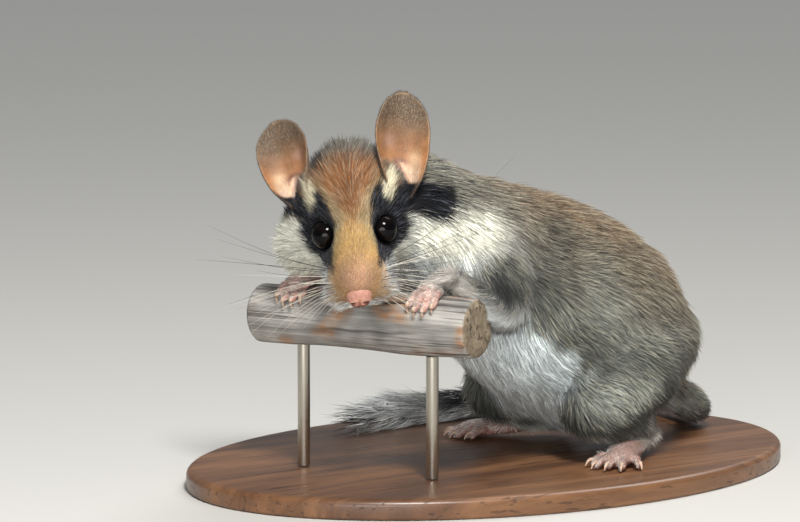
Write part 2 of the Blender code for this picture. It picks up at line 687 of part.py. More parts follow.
def make_tuft():
    """The tail's brush: a core and, all round it, flat tapered locks that overlap like tiles to the tip."""
    points, radii = tail_piece(TAIL_SPLITS[1], 1.0)
    pieces = [solid("core", tube_grid(points, radii, 9, 10, flat=0.8))]
    centre, share = path_points(points, 40)
    tangent = np.gradient(centre, axis=0)
    tangent /= np.linalg.norm(tangent, axis=1, keepdims=True)
    for row in range(5):
        for k in range(5 if row < 4 else 3):
            place = 0.12 + 0.19 * row
            at = np.array([np.interp(place, share, centre[:, n]) for n in range(3)])
            ahead = unit([np.interp(place, share, tangent[:, n]) for n in range(3)])
            side = unit(np.cross(ahead, (0, 0, 1)))
            turn = -18 + 54 * k + (27 if row % 2 else 0) if row < 4 else 20 + 70 * k
            turn = math.radians(turn)
            out = math.cos(turn) * side + math.sin(turn) * 0.8 * np.array([0.0, 0.0, 1.0])
            reach = TUFT_LOCK * (1.0 + 0.12 * math.sin(2.3 * row + 1.7 * k))
            lift = TUFT_FLARE * (0.55 + 0.45 * row / 4)
            root = at + out * 1.4
            path = [root, root + ahead * reach * 0.4 + out * lift * 0.75, root + ahead * reach + out * lift]
            lock = tube_grid(path, (1.5, 2.2, 1.5, 0.3), 4, 6, flat=0.45, side_hint=out)
            pieces.append(solid("lock", lock))
    return fused("tail_tuft", pieces)


def make_stand():
    turn = np.linspace(0, 2 * math.pi, 48, endpoint=False)
    edge = np.stack([np.cos(turn) * BASE_SEMI[0], np.sin(turn) * BASE_SEMI[1]], axis=1)
    rows = []
    inmost = BASE_SEMI[1]
    low = -BASE_THICK
    profile = (
        (inmost, low), (0.8, low), (0.0, low + 0.8), (0.0, -1.6), (0.5, -0.5), (1.6, 0.0), (inmost, 0.0),
    )
    for inset, z in profile:
        shrink = 1 - inset / inmost
        flat = np.array(BASE_CENTRE) + edge * shrink
        rows.append(np.column_stack([flat, np.full(len(turn), z)]))
    nodes = [solid("stand_base", rows)]
    along = perch_axes()[0]
    middle = PERCH_ENDS.mean(axis=0)
    for k, way in enumerate((-1, 1)):
        foot = middle + along * way * ROD_SPREAD
        angle = np.linspace(0, 2 * math.pi, 14, endpoint=False)
        circle = ROD_R * np.stack([np.cos(angle), np.sin(angle)], axis=1)
        rows = [
            np.column_stack([foot[:2] + circle * size, np.full(14, z)])
            for z, size in ((GAP, 0.0), (GAP, 1.0), (12.0, 1.0), (24.0, 1.0), (33.0, 1.0), (33.0, 0.0))
        ]
        nodes.append(solid("stand_rod_%d" % (k + 1), rows))
    return nodes


def build():
    for obj in list(bpy.data.objects):
        bpy.data.objects.remove(obj)
    left_run, right_run = 11.9, 48.3
    wrists = {"left": np.array([-60.3, -16.0, 48.3]), "right": on_perch(right_run, -50, 5.0)}
    runs = {"left": left_run, "right": right_run}

    torso = make_torso()
    head = make_head()
    torso = carve(torso, head)
    neck = carve(make_neck(), head, torso)
    eyes = {side: make_eye(side) for side in ("left", "right")}
    head = carve(head, eyes["left"], eyes["right"])
    ears = [carve(make_ear(side), head, neck) for side in ("left", "right")]
    perch = make_perch()
    legs, paws, hind, feet = [], [], [], []
    for side in ("left", "right"):
        leg = carve(make_foreleg(side, wrists[side]), torso, perch, neck)
        paw = carve(make_forepaw(side, wrists[side], runs[side]), perch, leg)
        legs.append(leg)
        paws.append(paw)
        foot = make_hindfoot(side)
        thigh = carve(make_hindleg(side), torso)
        thigh = carve(carve(thigh, floor_cut(), own=True), foot)
        hind.append(thigh)
        feet.append(carve(foot, torso))
    tail_base, tail_middle, tail_tuft = make_tail()
    tail_base = carve(tail_base, torso)
    tail_middle = carve(tail_middle, tail_base)
    tail_tuft = carve(tail_tuft, tail_middle)
    base, *rods = make_stand()
    rods = [carve(rod, perch) for rod in rods]

    fur, pale, dark = (0.22, 0.12, 0.06), (0.55, 0.42, 0.30), (0.03, 0.025, 0.022)
    flesh, wood = (0.62, 0.33, 0.26), (0.16, 0.11, 0.07)
    for obj in (torso, neck, head, *legs, *hind, tail_base):
        paint(obj, fur, 0.85)
    paint(tail_middle, dark, 0.85)
    paint(tail_tuft, pale, 0.85)
    for obj in (*ears, *paws, *feet):
        paint(obj, flesh, 0.6)
    for obj in eyes.values():
        paint(obj, (0.006, 0.005, 0.005), 0.08)
    paint(perch, (0.30, 0.27, 0.23), 0.8)
    paint(base, wood, 0.45)
    for rod in rods:
        paint(rod, (0.08, 0.07, 0.06), 0.35, 0.9)


build()
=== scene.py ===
"""Looks of a life-size garden dormouse that sits on its stand: skin, coat, eyes, ears, paws, whiskers,
branch, stand and studio.

Lengths are in millimetres in the animal's own frame: -X is forward along the trunk, -Y its left, +Z up, and
z = 0 is the top of the base. ANIMAL_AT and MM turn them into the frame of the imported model."""

import math
from types import SimpleNamespace

import bpy
import numpy as np
from bpy.props import FloatProperty, FloatVectorProperty, IntProperty, PointerProperty
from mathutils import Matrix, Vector


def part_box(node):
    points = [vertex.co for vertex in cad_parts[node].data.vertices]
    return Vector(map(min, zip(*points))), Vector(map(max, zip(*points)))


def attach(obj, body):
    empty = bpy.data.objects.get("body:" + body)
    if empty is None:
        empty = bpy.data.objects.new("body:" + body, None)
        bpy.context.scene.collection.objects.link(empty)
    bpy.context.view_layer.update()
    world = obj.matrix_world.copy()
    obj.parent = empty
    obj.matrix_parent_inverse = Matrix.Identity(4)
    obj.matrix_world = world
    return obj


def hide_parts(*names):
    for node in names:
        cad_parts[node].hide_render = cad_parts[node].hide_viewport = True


bl_info = {
    "name": "Garden Dormouse",
    "version": (1, 0, 0),
    "blender": (4, 5, 0),
    "location": "3D View > Sidebar > Dormouse",
    "description": "Builds the skin, coat, eyes, ears, paws, branch and stand of a garden dormouse",
    "category": "Object",
}

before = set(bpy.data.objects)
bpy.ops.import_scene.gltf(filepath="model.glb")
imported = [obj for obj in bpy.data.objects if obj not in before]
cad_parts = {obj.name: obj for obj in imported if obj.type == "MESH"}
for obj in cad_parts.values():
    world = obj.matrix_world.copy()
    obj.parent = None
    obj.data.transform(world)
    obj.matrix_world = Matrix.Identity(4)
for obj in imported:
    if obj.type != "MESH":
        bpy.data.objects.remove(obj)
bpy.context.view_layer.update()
BASE_LOW, BASE_HIGH = (np.array(corner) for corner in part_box("stand_base"))

MM = 0.001
BASE_THICK = float(BASE_HIGH[2]) / MM
ANIMAL_AT = np.array([27.0, -10.0, BASE_THICK])
SIDES = ("left", "right")

# The animal's measurements
TRUNK_AT = np.array([-2.0, 0.0, 28.5])
TRUNK_PITCH = math.radians(30)
# along the axis, rise of the section's centre, half width, height above the centre, depth below it
TRUNK_STATIONS = (
    (-25.5, -4.0, 0.0, 0.0, 0.0),
    (-20.0, -2.5, 13.5, 15.0, 14.0),
    (-10.0, -0.5, 21.3, 23.0, 22.0),
    (0.0, 0.0, 24.3, 26.0, 25.5),
    (12.0, 0.0, 25.0, 26.5, 26.0),
    (26.0, 0.0, 23.7, 25.0, 24.5),
    (40.0, 0.0, 20.0, 21.5, 21.0),
    (52.0, 0.0, 17.5, 18.5, 17.5),
    (62.0, 0.5, 14.0, 15.5, 13.5),
    (69.0, 1.0, 9.0, 10.5, 8.5),
    (73.0, 1.5, 0.0, 0.0, 0.0),
)
NECK_PATH = (
    (-44.0, 0.0, 53.0), (-54.0, 2.0, 59.5), (-63.0, 5.0, 63.5), (-70.0, 6.5, 64.0), (-76.0, 3.0, 62.5),
)
NECK_RADII = (15.5, 16.0, 15.5, 13.5, 9.0)
HEAD_AT = np.array([-79.1, -4.1, 59.9])
HEAD_YAW, HEAD_PITCH, HEAD_ROLL = math.radians(-5.4), math.radians(27.0), math.radians(6.8)
FACING = math.radians(-40)
HEAD_STATIONS = (
    (-22.5, 0.5, 0.0, 0.0, 0.0),
    (-20.0, -0.5, 8.6, 11.8, 8.0),
    (-15.0, -2.0, 14.0, 18.0, 11.5),
    (-9.0, -3.2, 15.8, 18.4, 12.0),
    (-3.5, -3.8, 12.8, 15.2, 11.0),
    (1.5, -4.2, 9.2, 11.6, 9.4),
    (8.0, -4.8, 7.7, 9.2, 7.4),
    (13.0, -5.2, 6.6, 8.0, 5.6),
    (17.0, -5.2, 4.9, 6.0, 4.4),
    (19.6, -4.9, 3.1, 4.0, 3.0),
    (21.2, -4.6, 0.0, 0.0, 0.0),
)
HEAD_ROUNDNESS = 1.85
# centre forward, left (mirrored), up, spread, height of each swelling or hollow of the head
HEAD_FORMS = (
    (-8.0, 14.0, -6.5, 5.2, 2.4),
    (-8.5, 12.5, -11.0, 4.6, 3.4),
    (-1.5, 6.4, 5.4, 2.4, 0.5),
    (1.0, 9.0, 0.6, 3.0, -0.8),
    (7.5, 6.5, -1.0, 3.2, -0.5),
    (14.5, 5.4, -6.0, 2.5, 1.0),
    (17.5, 2.0, -8.0, 1.6, 0.5),
)
EYE_R = 3.6
EYE_AT = (0.5, 6.6, 0.1)
EYE_FACING = (0.66, 0.67, 0.34)
EAR_ROOT = (-9.0, 10.6, 2.5)
EAR_TIPS = {"left": (-21.9, 15.0, 23.2), "right": (-26.5, -17.4, 16.2)}
EAR_FACING = (0.83, 0.22, 0.52)
# share of the length, half width across the opening, half angle of the cup's section in degrees
EAR_STATIONS = (
    (0.0, 3.1, 130.0),
    (0.15, 4.5, 112.0),
    (0.32, 5.8, 84.0),
    (0.5, 6.5, 64.0),
    (0.64, 6.6, 52.0),
    (0.8, 5.9, 42.0),
    (0.92, 4.0, 30.0),
    (1.0, 1.2, 16.0),
)
EAR_THICK = 0.62
PERCH_ENDS = np.array([[-58.5, -25.0, 37.0], [-81.5, 31.0, 37.0]])
PERCH_R = 7.0
ROD_R = 1.5
SHOULDER, UPPER_ARM, ELBOW = (-47.0, 12.0, 52.0), (-46.0, 19.0, 45.5), (-47.5, 21.5, 40.0)
ARM_RADII, THIGH_RADII, SHANK_RADII = (8.5, 7.2, 5.2, 4.4, 3.0), (14.5, 15.8, 10.0), (8.6, 7.2, 4.4)
HIP, THIGH, KNEE = (7.0, 8.5, 28.0), (-5.0, 12.8, 23.5), (-16.5, 18.5, 15.0)
SHANK, HEEL, BALL = (-8.5, 19.0, 9.0), (1.5, 15.5, 4.6), (-15.5, 26.8, 2.5)
TOE_TIPS = (
    (-21.6, 23.9, 1.25), (-23.2, 27.3, 1.25), (-22.4, 30.4, 1.25), (-20.3, 33.0, 1.25), (-15.8, 34.0, 1.25),
)
PAW_RUNS = {"left": 11.9, "right": 48.3}
FINGERS_ACROSS = (-3.3, -1.15, 1.15, 3.3)
FINGER_REACH = (46, 55, 55, 47)
TAIL_PATH = (
    (17.0, 0.0, 16.0), (30.0, 1.5, 8.5), (39.0, 9.0, 4.6), (42.5, 27.0, 3.8), (31.0, 44.0, 3.7),
    (9.0, 52.0, 3.6), (-14.0, 54.0, 3.6), (-34.0, 52.0, 3.8),
)
TAIL_RADII = (5.6, 4.6, 4.0, 3.7, 3.5, 3.4, 3.4, 2.6)
# each crack's angle round the branch, depth as a share of the radius, start and end as shares of the length
PERCH_CRACKS = (
    (0.6, 0.08, -0.1, 0.6), (2.9, 0.1, 0.35, 1.1), (5.0, 0.07, 0.1, 0.9), (1.7, 0.05, 0.2, 0.75),
    (4.1, 0.06, -0.1, 0.4), (5.7, 0.05, 0.55, 1.1), (0.1, 0.04, 0.5, 0.95),
)
FLESH_NODES = (
    "torso", "neck", "head", "tail_base", "tail_middle", "tail_tuft",
    *(part + side for part in ("ear_", "foreleg_", "forepaw_", "hindleg_", "hindfoot_") for side in SIDES),
)
# each piece of the coat: its finish's name, whether its tufts bend, and the parts that it grows on
COAT_PIECES = {
    "head": ("fur_head", False, ("head", "ear_left", "ear_right")),
    "neck": ("fur_neck", True, ("neck",)),
    "trunk": ("fur_back", True, ("trunk", "thigh_left", "thigh_right")),
    "left_legs": ("fur_legs", False, ("foreleg_left", "forepaw_left", "shank_left", "hindfoot_left")),
    "right_legs": ("fur_legs", False, ("foreleg_right", "forepaw_right", "shank_right", "hindfoot_right")),
    "tail": ("fur_tail", True, ("tail",)),
}
# the camera looks at this point in metres, moved right and up in the picture by CAMERA_AIM
CAMERA_AT_ROW = (0.027, -0.010, 0.035)
CAMERA_AIM = (-0.050, 0.016)
CAMERA_AWAY = 1.0
FLOOR_REACH = 6.0


def unit(vector):
    vector = np.asarray(vector, float)
    return vector / np.maximum(np.linalg.norm(vector, axis=-1, keepdims=True), 1e-12)


def camera_ways():
    """The level way from the model to the camera, and the picture's right."""
    return (
        np.array([math.sin(FACING), -math.cos(FACING), 0.0]),
        np.array([math.cos(FACING), math.sin(FACING), 0.0]))


def head_axes():
    """Columns forward, left and up of the head."""
    to_camera, right = camera_ways()
    level = math.cos(HEAD_YAW) * to_camera - math.sin(HEAD_YAW) * right
    forward = math.cos(HEAD_PITCH) * level - math.sin(HEAD_PITCH) * np.array([0.0, 0.0, 1.0])
    side = np.cross([0.0, 0.0, 1.0], level)
    up = np.cross(forward, side)
    left = math.cos(HEAD_ROLL) * side + math.sin(HEAD_ROLL) * up
    return np.stack([forward, left, np.cross(forward, left)], axis=1)


HEAD_AXES = head_axes()
TRUNK_AXES = np.array(
    [[-math.cos(TRUNK_PITCH), 0.0, math.sin(TRUNK_PITCH)],
     [0.0, -1.0, 0.0],
     [math.sin(TRUNK_PITCH), 0.0, math.cos(TRUNK_PITCH)]]
).T


# Curves and surfaces
# rings of a tube's round end
CAP_RINGS = 5


def full_turn(count):
    """Even angles round a circle."""
    return np.linspace(0, 2 * math.pi, count, endpoint=False)


def hump(value, at, wide):
    """1 at a place, falling off smoothly on both sides of it."""
    return np.exp(-(((value - at) / wide) ** 2))


def read_rows(value, places, rows):
    """Rows of three numbers that stand at places, read at values between them."""
    return np.stack([np.interp(value, places, rows[:, k]) for k in range(3)], axis=-1)


def eased(ts, ys, t):
    """The smooth curve through (ts, ys) at t: a cubic whose slopes are harmonic means, so that it never
    overshoots."""
    ts, ys = np.asarray(ts, float), np.asarray(ys, float)
    t = np.clip(t, ts[0], ts[-1])
    step = np.diff(ts)
    rise = np.diff(ys) / step
    slope = np.concatenate([rise[:1], np.zeros(len(ts) - 2), rise[-1:]])
    same_way = rise[:-1] * rise[1:] > 0
    slope[1:-1][same_way] = 2 / (1 / rise[:-1][same_way] + 1 / rise[1:][same_way])
    i = np.clip(np.searchsorted(ts, t, side="right") - 1, 0, len(step) - 1)
    u = (t - ts[i]) / step[i]
    return (
        ys[i] * (1 + 2 * u) * (1 - u) ** 2
        + slope[i] * step[i] * u * (1 - u) ** 2
        + ys[i + 1] * u * u * (3 - 2 * u)
        + slope[i + 1] * step[i] * u * u * (u - 1)
    )


def step_between(low, high, value):
    """0 below low, 1 above high and a smooth cubic between them; low may be the larger."""
    t = np.clip((np.asarray(value, float) - low) / (high - low), 0, 1)
    return t * t * (3 - 2 * t)


def column(table, value):
    """The straight-line curve through rows of (place, amount), read at a value."""
    places, amounts = np.array(table, float).T
    return np.interp(value, places, amounts)


def body_grid(stations, rings, around, roundness=2.0):
    """A long rounded body as a grid of points (ring, place round it): its sections are superellipses whose
    half width, height and depth are read along the axis as squares, so that both ends close round."""
    table = np.array(stations, float)
    mid, half = (table[0, 0] + table[-1, 0]) / 2, (table[-1, 0] - table[0, 0]) / 2
    along = mid - half * np.cos(np.linspace(0, math.pi, rings))
    rise = eased(table[:, 0], table[:, 1], along)
    squares = (eased(table[:, 0], table[:, k] ** 2, along) for k in (2, 3, 4))
    wide, high, deep = (np.sqrt(np.maximum(square, 0)) for square in squares)
    angle = full_turn(around)
    c, s = np.cos(angle), np.sin(angle)
    side = wide[:, None] * np.sign(c) * np.abs(c) ** (2 / roundness)
    tall = np.where(s > 0, high[:, None], deep[:, None]) * np.sign(s) * np.abs(s) ** (2 / roundness)
    return np.stack([along[:, None] + 0 * side, side, rise[:, None] + tall], axis=-1)


def grid_normals(grid):
    """Unit normals of a closed grid, from the cross product of its two directions, pointing out."""
    across = np.roll(grid, -1, axis=1) - np.roll(grid, 1, axis=1)
    along = np.gradient(grid, axis=0)
    normal = unit(np.cross(across, along))
    outward = grid - grid.mean(axis=1, keepdims=True)
    return normal * np.where((normal * outward).sum() < 0, -1.0, 1.0)


def head_grid(rings, around):
    """The head in its own frame: the body of HEAD_STATIONS, pushed out or in by the rounded forms of
    HEAD_FORMS."""
    grid = body_grid(HEAD_STATIONS, rings, around, HEAD_ROUNDNESS)
    push = np.zeros(grid.shape[:2])
    for forward, left, up, spread, height in HEAD_FORMS:
        for side in (1, -1):
            away = ((grid - np.array([forward, side * left, up])) ** 2).sum(axis=-1)
            push += height * np.exp(-away / (2 * spread**2))
    return grid + push[..., None] * grid_normals(grid)


def placed(points, at, axes):
    """Points of a part's own frame in the animal's frame."""
    return np.asarray(at) + np.asarray(points) @ axes.T


def head_point(local):
    return placed(local, HEAD_AT, HEAD_AXES)


def path_points(points, count):
    """Evenly spaced points on a smooth curve through the given ones, and how far along it each lies, from 0
    to 1."""
    points = np.asarray(points, float)
    knots = np.concatenate([[0.0], np.cumsum(np.linalg.norm(np.diff(points, axis=0), axis=1))])
    fine = np.linspace(0, knots[-1], 40 * len(points))
    ends = np.vstack([2 * points[0] - points[1], points, 2 * points[-1] - points[-2]])
    i = np.clip(np.searchsorted(knots, fine, side="right") - 1, 0, len(points) - 2)
    u = ((fine - knots[i]) / (knots[i + 1] - knots[i]))[:, None]
    a, b, c, d = ends[i], ends[i + 1], ends[i + 2], ends[i + 3]
    curve = 0.5 * (2 * b + (c - a) * u + (2 * a - 5 * b + 4 * c - d) * u**2 + (3 * b - a - 3 * c + d) * u**3)
    run = np.concatenate([[0.0], np.cumsum(np.linalg.norm(np.diff(curve, axis=0), axis=1))])
    wanted = np.linspace(0, run[-1], count)
    return read_rows(wanted, run, curve), wanted / run[-1]


def tube_grid(points, radii, rings, around, flat=1.0, side_hint=(0.0, 0.0, 1.0)):
    """A round tube along a smooth path, with round ends: its ring at a path point is centre + radius (cos a
    * wide + flat * sin a * tall), with tall kept near side_hint."""
    centre, share = path_points(points, rings)
    radius = eased(np.linspace(0, 1, len(radii)), radii, share)
    tangent = unit(np.gradient(centre, axis=0))
    bow = np.sin(np.linspace(0, math.pi / 2, CAP_RINGS + 1))[:-1]
    back = np.sqrt(1 - bow**2)
    middle = np.concatenate([
        centre[:1] - tangent[:1] * radius[0] * back[:, None], centre,
        centre[-1:] + tangent[-1:] * radius[-1] * back[::-1, None]])
    size = np.concatenate([radius[0] * bow, radius, radius[-1] * bow[::-1]])
    ahead = np.concatenate([
        np.repeat(tangent[:1], CAP_RINGS, axis=0), tangent, np.repeat(tangent[-1:], CAP_RINGS, axis=0)])
    tall = unit(np.asarray(side_hint, float) - ahead * (ahead @ np.asarray(side_hint, float))[:, None])
    wide = np.cross(ahead, tall)
    angle = full_turn(around)[None, :, None]
    return middle[:, None] + size[:, None, None] * (
        np.cos(angle) * wide[:, None] + flat * np.sin(angle) * tall[:, None])


def ring_grid(centre, normal, radius, thick, around=64, section=12):
    """A round ring (a torus) about a centre, in the plane across normal; it closes both ways."""
    normal = unit(normal)
    one = unit(np.cross(normal, (0.3, 0.1, 0.95)))
    two = np.cross(normal, one)
    turn = full_turn(around)[:, None]
    part = full_turn(section)
    out = (np.cos(turn) * one + np.sin(turn) * two)[:, None, :]
    return (
        np.asarray(centre) + out * (radius + thick * np.cos(part))[None, :, None]
        + normal * (thick * np.sin(part))[None, :, None]
    )


def closed_faces(grid):
    """Points and faces of a grid whose first and last rings meet in a point each."""
    rows, around = grid.shape[0] - 2, grid.shape[1]
    points = np.concatenate([
        grid[0].mean(axis=0)[None], grid[1:-1].reshape(-1, 3), grid[-1].mean(axis=0)[None]])
    j = np.arange(around)
    k = (j + 1) % around
    i = np.arange(rows - 1)[:, None] * around + 1
    quads = np.stack([i + j, i + k, i + around + k, i + around + j], axis=-1).reshape(-1, 4)
    last = (rows - 1) * around + 1
    tips = np.concatenate([
        np.stack([0 * j, 1 + k, 1 + j], axis=1),
        np.stack([0 * j + len(points) - 1, last + j, last + k], axis=1)])
    return points, [quads, tips]


def ring_faces(grid):
    """Points and faces of a grid that closes both ways."""
    rows, around = grid.shape[:2]
    i, j = np.arange(rows)[:, None], np.arange(around)[None, :]
    here, below, right = i * around, (i + 1) % rows * around, (j + 1) % around
    quads = np.stack([here + j, here + right, below + right, below + j], axis=-1)
    return grid.reshape(-1, 3), [quads.reshape(-1, 4)]


def sheet_faces(outer, inner):
    """Points and faces of a thin shell between two grids, joined along their four borders."""
    rows, cols = outer.shape[:2]
    points = np.concatenate([outer.reshape(-1, 3), inner.reshape(-1, 3)])
    shift = rows * cols
    i, j = np.arange(rows - 1)[:, None] * cols, np.arange(cols - 1)[None, :]
    quads = np.stack([i + j, i + j + 1, i + cols + j + 1, i + cols + j], axis=-1).reshape(-1, 4)
    border = np.concatenate([
        np.arange(cols), np.arange(1, rows) * cols + cols - 1,
        (rows - 1) * cols + np.arange(cols - 2, -1, -1), np.arange(rows - 2, 0, -1) * cols])
    rim = np.stack([np.roll(border, -1), border, shift + border, shift + np.roll(border, -1)], axis=1)
    return points, [quads, shift + quads[:, ::-1], rim]


def outward(points, faces):
    """Turns all faces over where the volume that they enclose comes out negative."""
    volume = 0.0
    for block in faces:
        for k in range(1, block.shape[1] - 1):
            a, b, c = points[block[:, 0]], points[block[:, k]], points[block[:, k + 1]]
            volume += float((a * np.cross(b, c)).sum())
    return points, faces if volume > 0 else [block[:, ::-1] for block in faces]


def joined(parts):
    """Several (points, faces) as one."""
    points, faces, shift = [], [], 0
    for part_points, part_faces in parts:
        points.append(part_points)
        faces += [block + shift for block in part_faces]
        shift += len(part_points)
    return np.concatenate(points), faces


def in_scene(name, data):
    """A new object of the scene with the given data."""
    thing = bpy.data.objects.new(name, data)
    bpy.context.scene.collection.objects.link(thing)
    return thing


def new_piece(name, points, faces, material=None):
    """A mesh object at the origin from millimetre points of the animal's frame and blocks of equal-sided
    faces."""
    mesh = bpy.data.meshes.new(name)
    points = (np.asarray(points) + ANIMAL_AT) * MM
    corners = np.concatenate([block.ravel() for block in faces])
    sides = np.concatenate([np.full(len(block), block.shape[1]) for block in faces])
    mesh.vertices.add(len(points))
    mesh.vertices.foreach_set("co", points.astype(np.float32).ravel())
    mesh.loops.add(len(corners))
    mesh.loops.foreach_set("vertex_index", corners.astype(np.int32))
    mesh.polygons.add(len(sides))
    mesh.polygons.foreach_set("loop_start", np.concatenate([[0], np.cumsum(sides)[:-1]]).astype(np.int32))
    mesh.update(calc_edges=True)
    mesh.validate()
    mesh.shade_smooth()
    if material:
        mesh.materials.append(material)
    return in_scene(name, mesh)


def mesh_arrays(mesh):
    """Points in the animal's frame, unit normals and the corner list of a mesh of one face size."""
    count = len(mesh.vertices)
    points, normals = np.empty(count * 3, np.float32), np.empty(count * 3, np.float32)
    mesh.vertices.foreach_get("co", points)
    mesh.vertex_normals.foreach_get("vector", normals)
    corners = np.empty(len(mesh.loops), np.int32)
    mesh.loops.foreach_get("vertex_index", corners)
    return points.reshape(-1, 3).astype(float) / MM - ANIMAL_AT, normals.reshape(-1, 3).astype(float), corners


def run_together(parts, voxel):
    """One closed surface of quads over overlapping closed parts, by a voxel remesh."""
    rough = new_piece("rough", *joined(parts))
    remesh = rough.modifiers.new("run_together", "REMESH")
    remesh.mode, remesh.voxel_size = "VOXEL", voxel * MM
    bpy.context.view_layer.update()
    mesh = bpy.data.meshes.new_from_object(rough.evaluated_get(bpy.context.evaluated_depsgraph_get()))
    points, _, corners = mesh_arrays(mesh)
    bpy.data.objects.remove(rough)
    bpy.data.meshes.remove(mesh)
    return points, corners.reshape(-1, 4)


def eased_surface(points, quads, rounds, weight):
    """Each point moved toward the mean of its neighbours by weight, round after round."""
    one = np.concatenate([quads[:, 0], quads[:, 1], quads[:, 2], quads[:, 3]])
    two = np.concatenate([quads[:, 1], quads[:, 2], quads[:, 3], quads[:, 0]])
    count = np.bincount(one, minlength=len(points)) + np.bincount(two, minlength=len(points))
    weight = np.broadcast_to(weight, len(points))[:, None]
    for _ in range(rounds):
        total = np.stack([
            np.bincount(one, points[two, k], len(points)) + np.bincount(two, points[one, k], len(points))
            for k in range(3)], axis=1)
        points = points + weight * (total / count[:, None] - points)
    return points


def paint(piece, name, colours):
    """Stores linear RGB per point as a colour attribute."""
    layer = piece.data.attributes.new(name, "FLOAT_COLOR", "POINT")
    rgba = np.ones((len(piece.data.vertices), 4), np.float32)
    rgba[:, :3] = colours
    layer.data.foreach_set("color", rgba.ravel())


def linear(*rgb):
    """A display colour of 0 to 255 as linear light."""
    return tuple(v / 255 / 12.92 if v <= 10.3 else ((v / 255 + 0.055) / 1.055) ** 2.4 for v in rgb)


# Places on the animal
def in_head(points):
    """Points of the animal's frame as forward, left and up of the head."""
    return (np.asarray(points) - HEAD_AT) @ HEAD_AXES


def in_trunk(points):
    """Points of the animal's frame as along, left and up of the trunk."""
    return (np.asarray(points) - TRUNK_AT) @ TRUNK_AXES


def mirrored(points, side):
    """Points of the right limbs as they are, or turned over for the animal's left (-Y)."""
    points = np.array(points, float)
    points[..., 1] *= -1 if side == "left" else 1
    return points


def both_sides(points):
    """Points with the second coordinate made positive, so that one shape describes a mark on both sides."""
    return np.stack([points[:, 0], np.abs(points[:, 1]), points[:, 2]], axis=1)


def perch_axes():
    along = unit(PERCH_ENDS[1] - PERCH_ENDS[0])
    up = np.array([0.0, 0.0, 1.0])
    return along, unit(np.cross(up, along)), up


def on_perch(run, turn, height):
    """A point over the branch: run along it, turned forward from its top in degrees, height over its
    bark."""
    along, ahead, up = perch_axes()
    turn = math.radians(turn)
    reach = PERCH_R + height
    return PERCH_ENDS[0] + along * run + reach * (math.sin(turn) * ahead + math.cos(turn) * up)


WRISTS = {"left": np.array([-60.3, -16.0, 48.3]), "right": on_perch(PAW_RUNS["right"], -50, 5.0)}


# distances from a wrist between which the foreleg's fur ends
WRIST_FADE = (6.0, 3.0)
WAVES = 12


def near_wrist(points):
    """1 at the wrists, where the forelegs' fur runs on to the paws, and 0 at the fingers."""
    away = np.min([np.linalg.norm(points - wrist, axis=1) for wrist in WRISTS.values()], axis=0)
    return step_between(*WRIST_FADE, away)


def random_waves(size, seed):
    """The wave vectors and phases of sine waves in random directions, each about size long."""
    chance = np.random.default_rng(seed)
    ways = unit(chance.normal(size=(WAVES, 3))) * 2 * math.pi / size * chance.uniform(0.6, 1.5, (WAVES, 1))
    return ways, chance.uniform(0, 2 * math.pi, WAVES)


def ripple(points, size, seed):
    """A smooth random field of variance one: a sum of random sine waves."""
    ways, phase = random_waves(size, seed)
    return np.sin(points @ ways.T + phase).sum(axis=1) * math.sqrt(2 / WAVES)


def ripple_slope(points, size, seed):
    """The direction in which ripple's field rises, of variance about one."""
    ways, phase = random_waves(size, seed)
    return np.cos(points @ ways.T + phase) @ ways * (size / (2 * math.pi)) * math.sqrt(2 / WAVES)


def from_line(points, start, end):
    """Each point's distance from the straight line between two others."""
    start, end = np.asarray(start, float), np.asarray(end, float)
    span = end - start
    share = np.clip((points - start) @ span / max(span @ span, 1e-9), 0, 1)
    return np.linalg.norm(points - start - share[:, None] * span, axis=1)


# The skin
def shrunk(grid, depth):
    """A closed grid moved in along its normals by a depth for each of its rings."""
    depth = np.broadcast_to(np.asarray(depth, float), grid.shape[:1])
    moved = grid - grid_normals(grid) * depth[:, None, None]
    for end, near in ((0, 1), (-1, -2)):
        out = unit(grid[end].mean(axis=0) - grid[near].mean(axis=0))
        moved[end] = grid[end] - out * depth[end]
    return moved


def thinner(radii, *depths):
    """Radii along a path, less depths that are spread evenly along it."""
    return np.array(radii) - np.interp(np.linspace(0, 1, len(radii)), np.linspace(0, 1, len(depths)), depths)


# forward place on the head and how far the skin lies below the coat's outline there
HEAD_DEPTHS = ((-18, 1.4), (-9, 1.1), (-2, 0.8), (4, 0.55), (9, 0.45), (14, 0.35), (19, 0.3))


def limb_path(side):
    wrist = WRISTS[side]
    shoulder, upper, elbow = mirrored([SHOULDER, UPPER_ARM, ELBOW], side)
    return [shoulder, upper, elbow, elbow * 0.45 + wrist * 0.55, wrist]


def body_shells():
    """The closed shells of the trunk, neck, head, limbs and tail, each thinner than the coat's outline."""
    head = head_grid(110, 120)
    coat = column(HEAD_DEPTHS, head[:, :, 0].mean(axis=1))
    grids = [
        placed(shrunk(body_grid(TRUNK_STATIONS, 70, 96), 1.9), TRUNK_AT, TRUNK_AXES),
        tube_grid(NECK_PATH, thinner(NECK_RADII, 1.9, 1.5), 40, 72),
        head_point(shrunk(head, coat)),
        tube_grid(TAIL_PATH, thinner(TAIL_RADII, 1.5, 1.4, 1.6), 160, 24),
    ]
    for side in SIDES:
        arm, thigh = limb_path(side), mirrored([HIP, THIGH, KNEE], side)
        shank = mirrored([KNEE, SHANK, HEEL], side)
        grids += [
            tube_grid(arm, thinner(ARM_RADII, 1.6, 1.2, 0.6), 40, 36, side_hint=(0.2, 1, 0)),
            tube_grid(thigh, thinner(THIGH_RADII, 1.9, 1.8, 1.6), 40, 60),
            tube_grid(shank, thinner(SHANK_RADII, 1.6, 1.2, 0.7), 36, 44),
        ]
    return [outward(*closed_faces(grid)) for grid in grids]


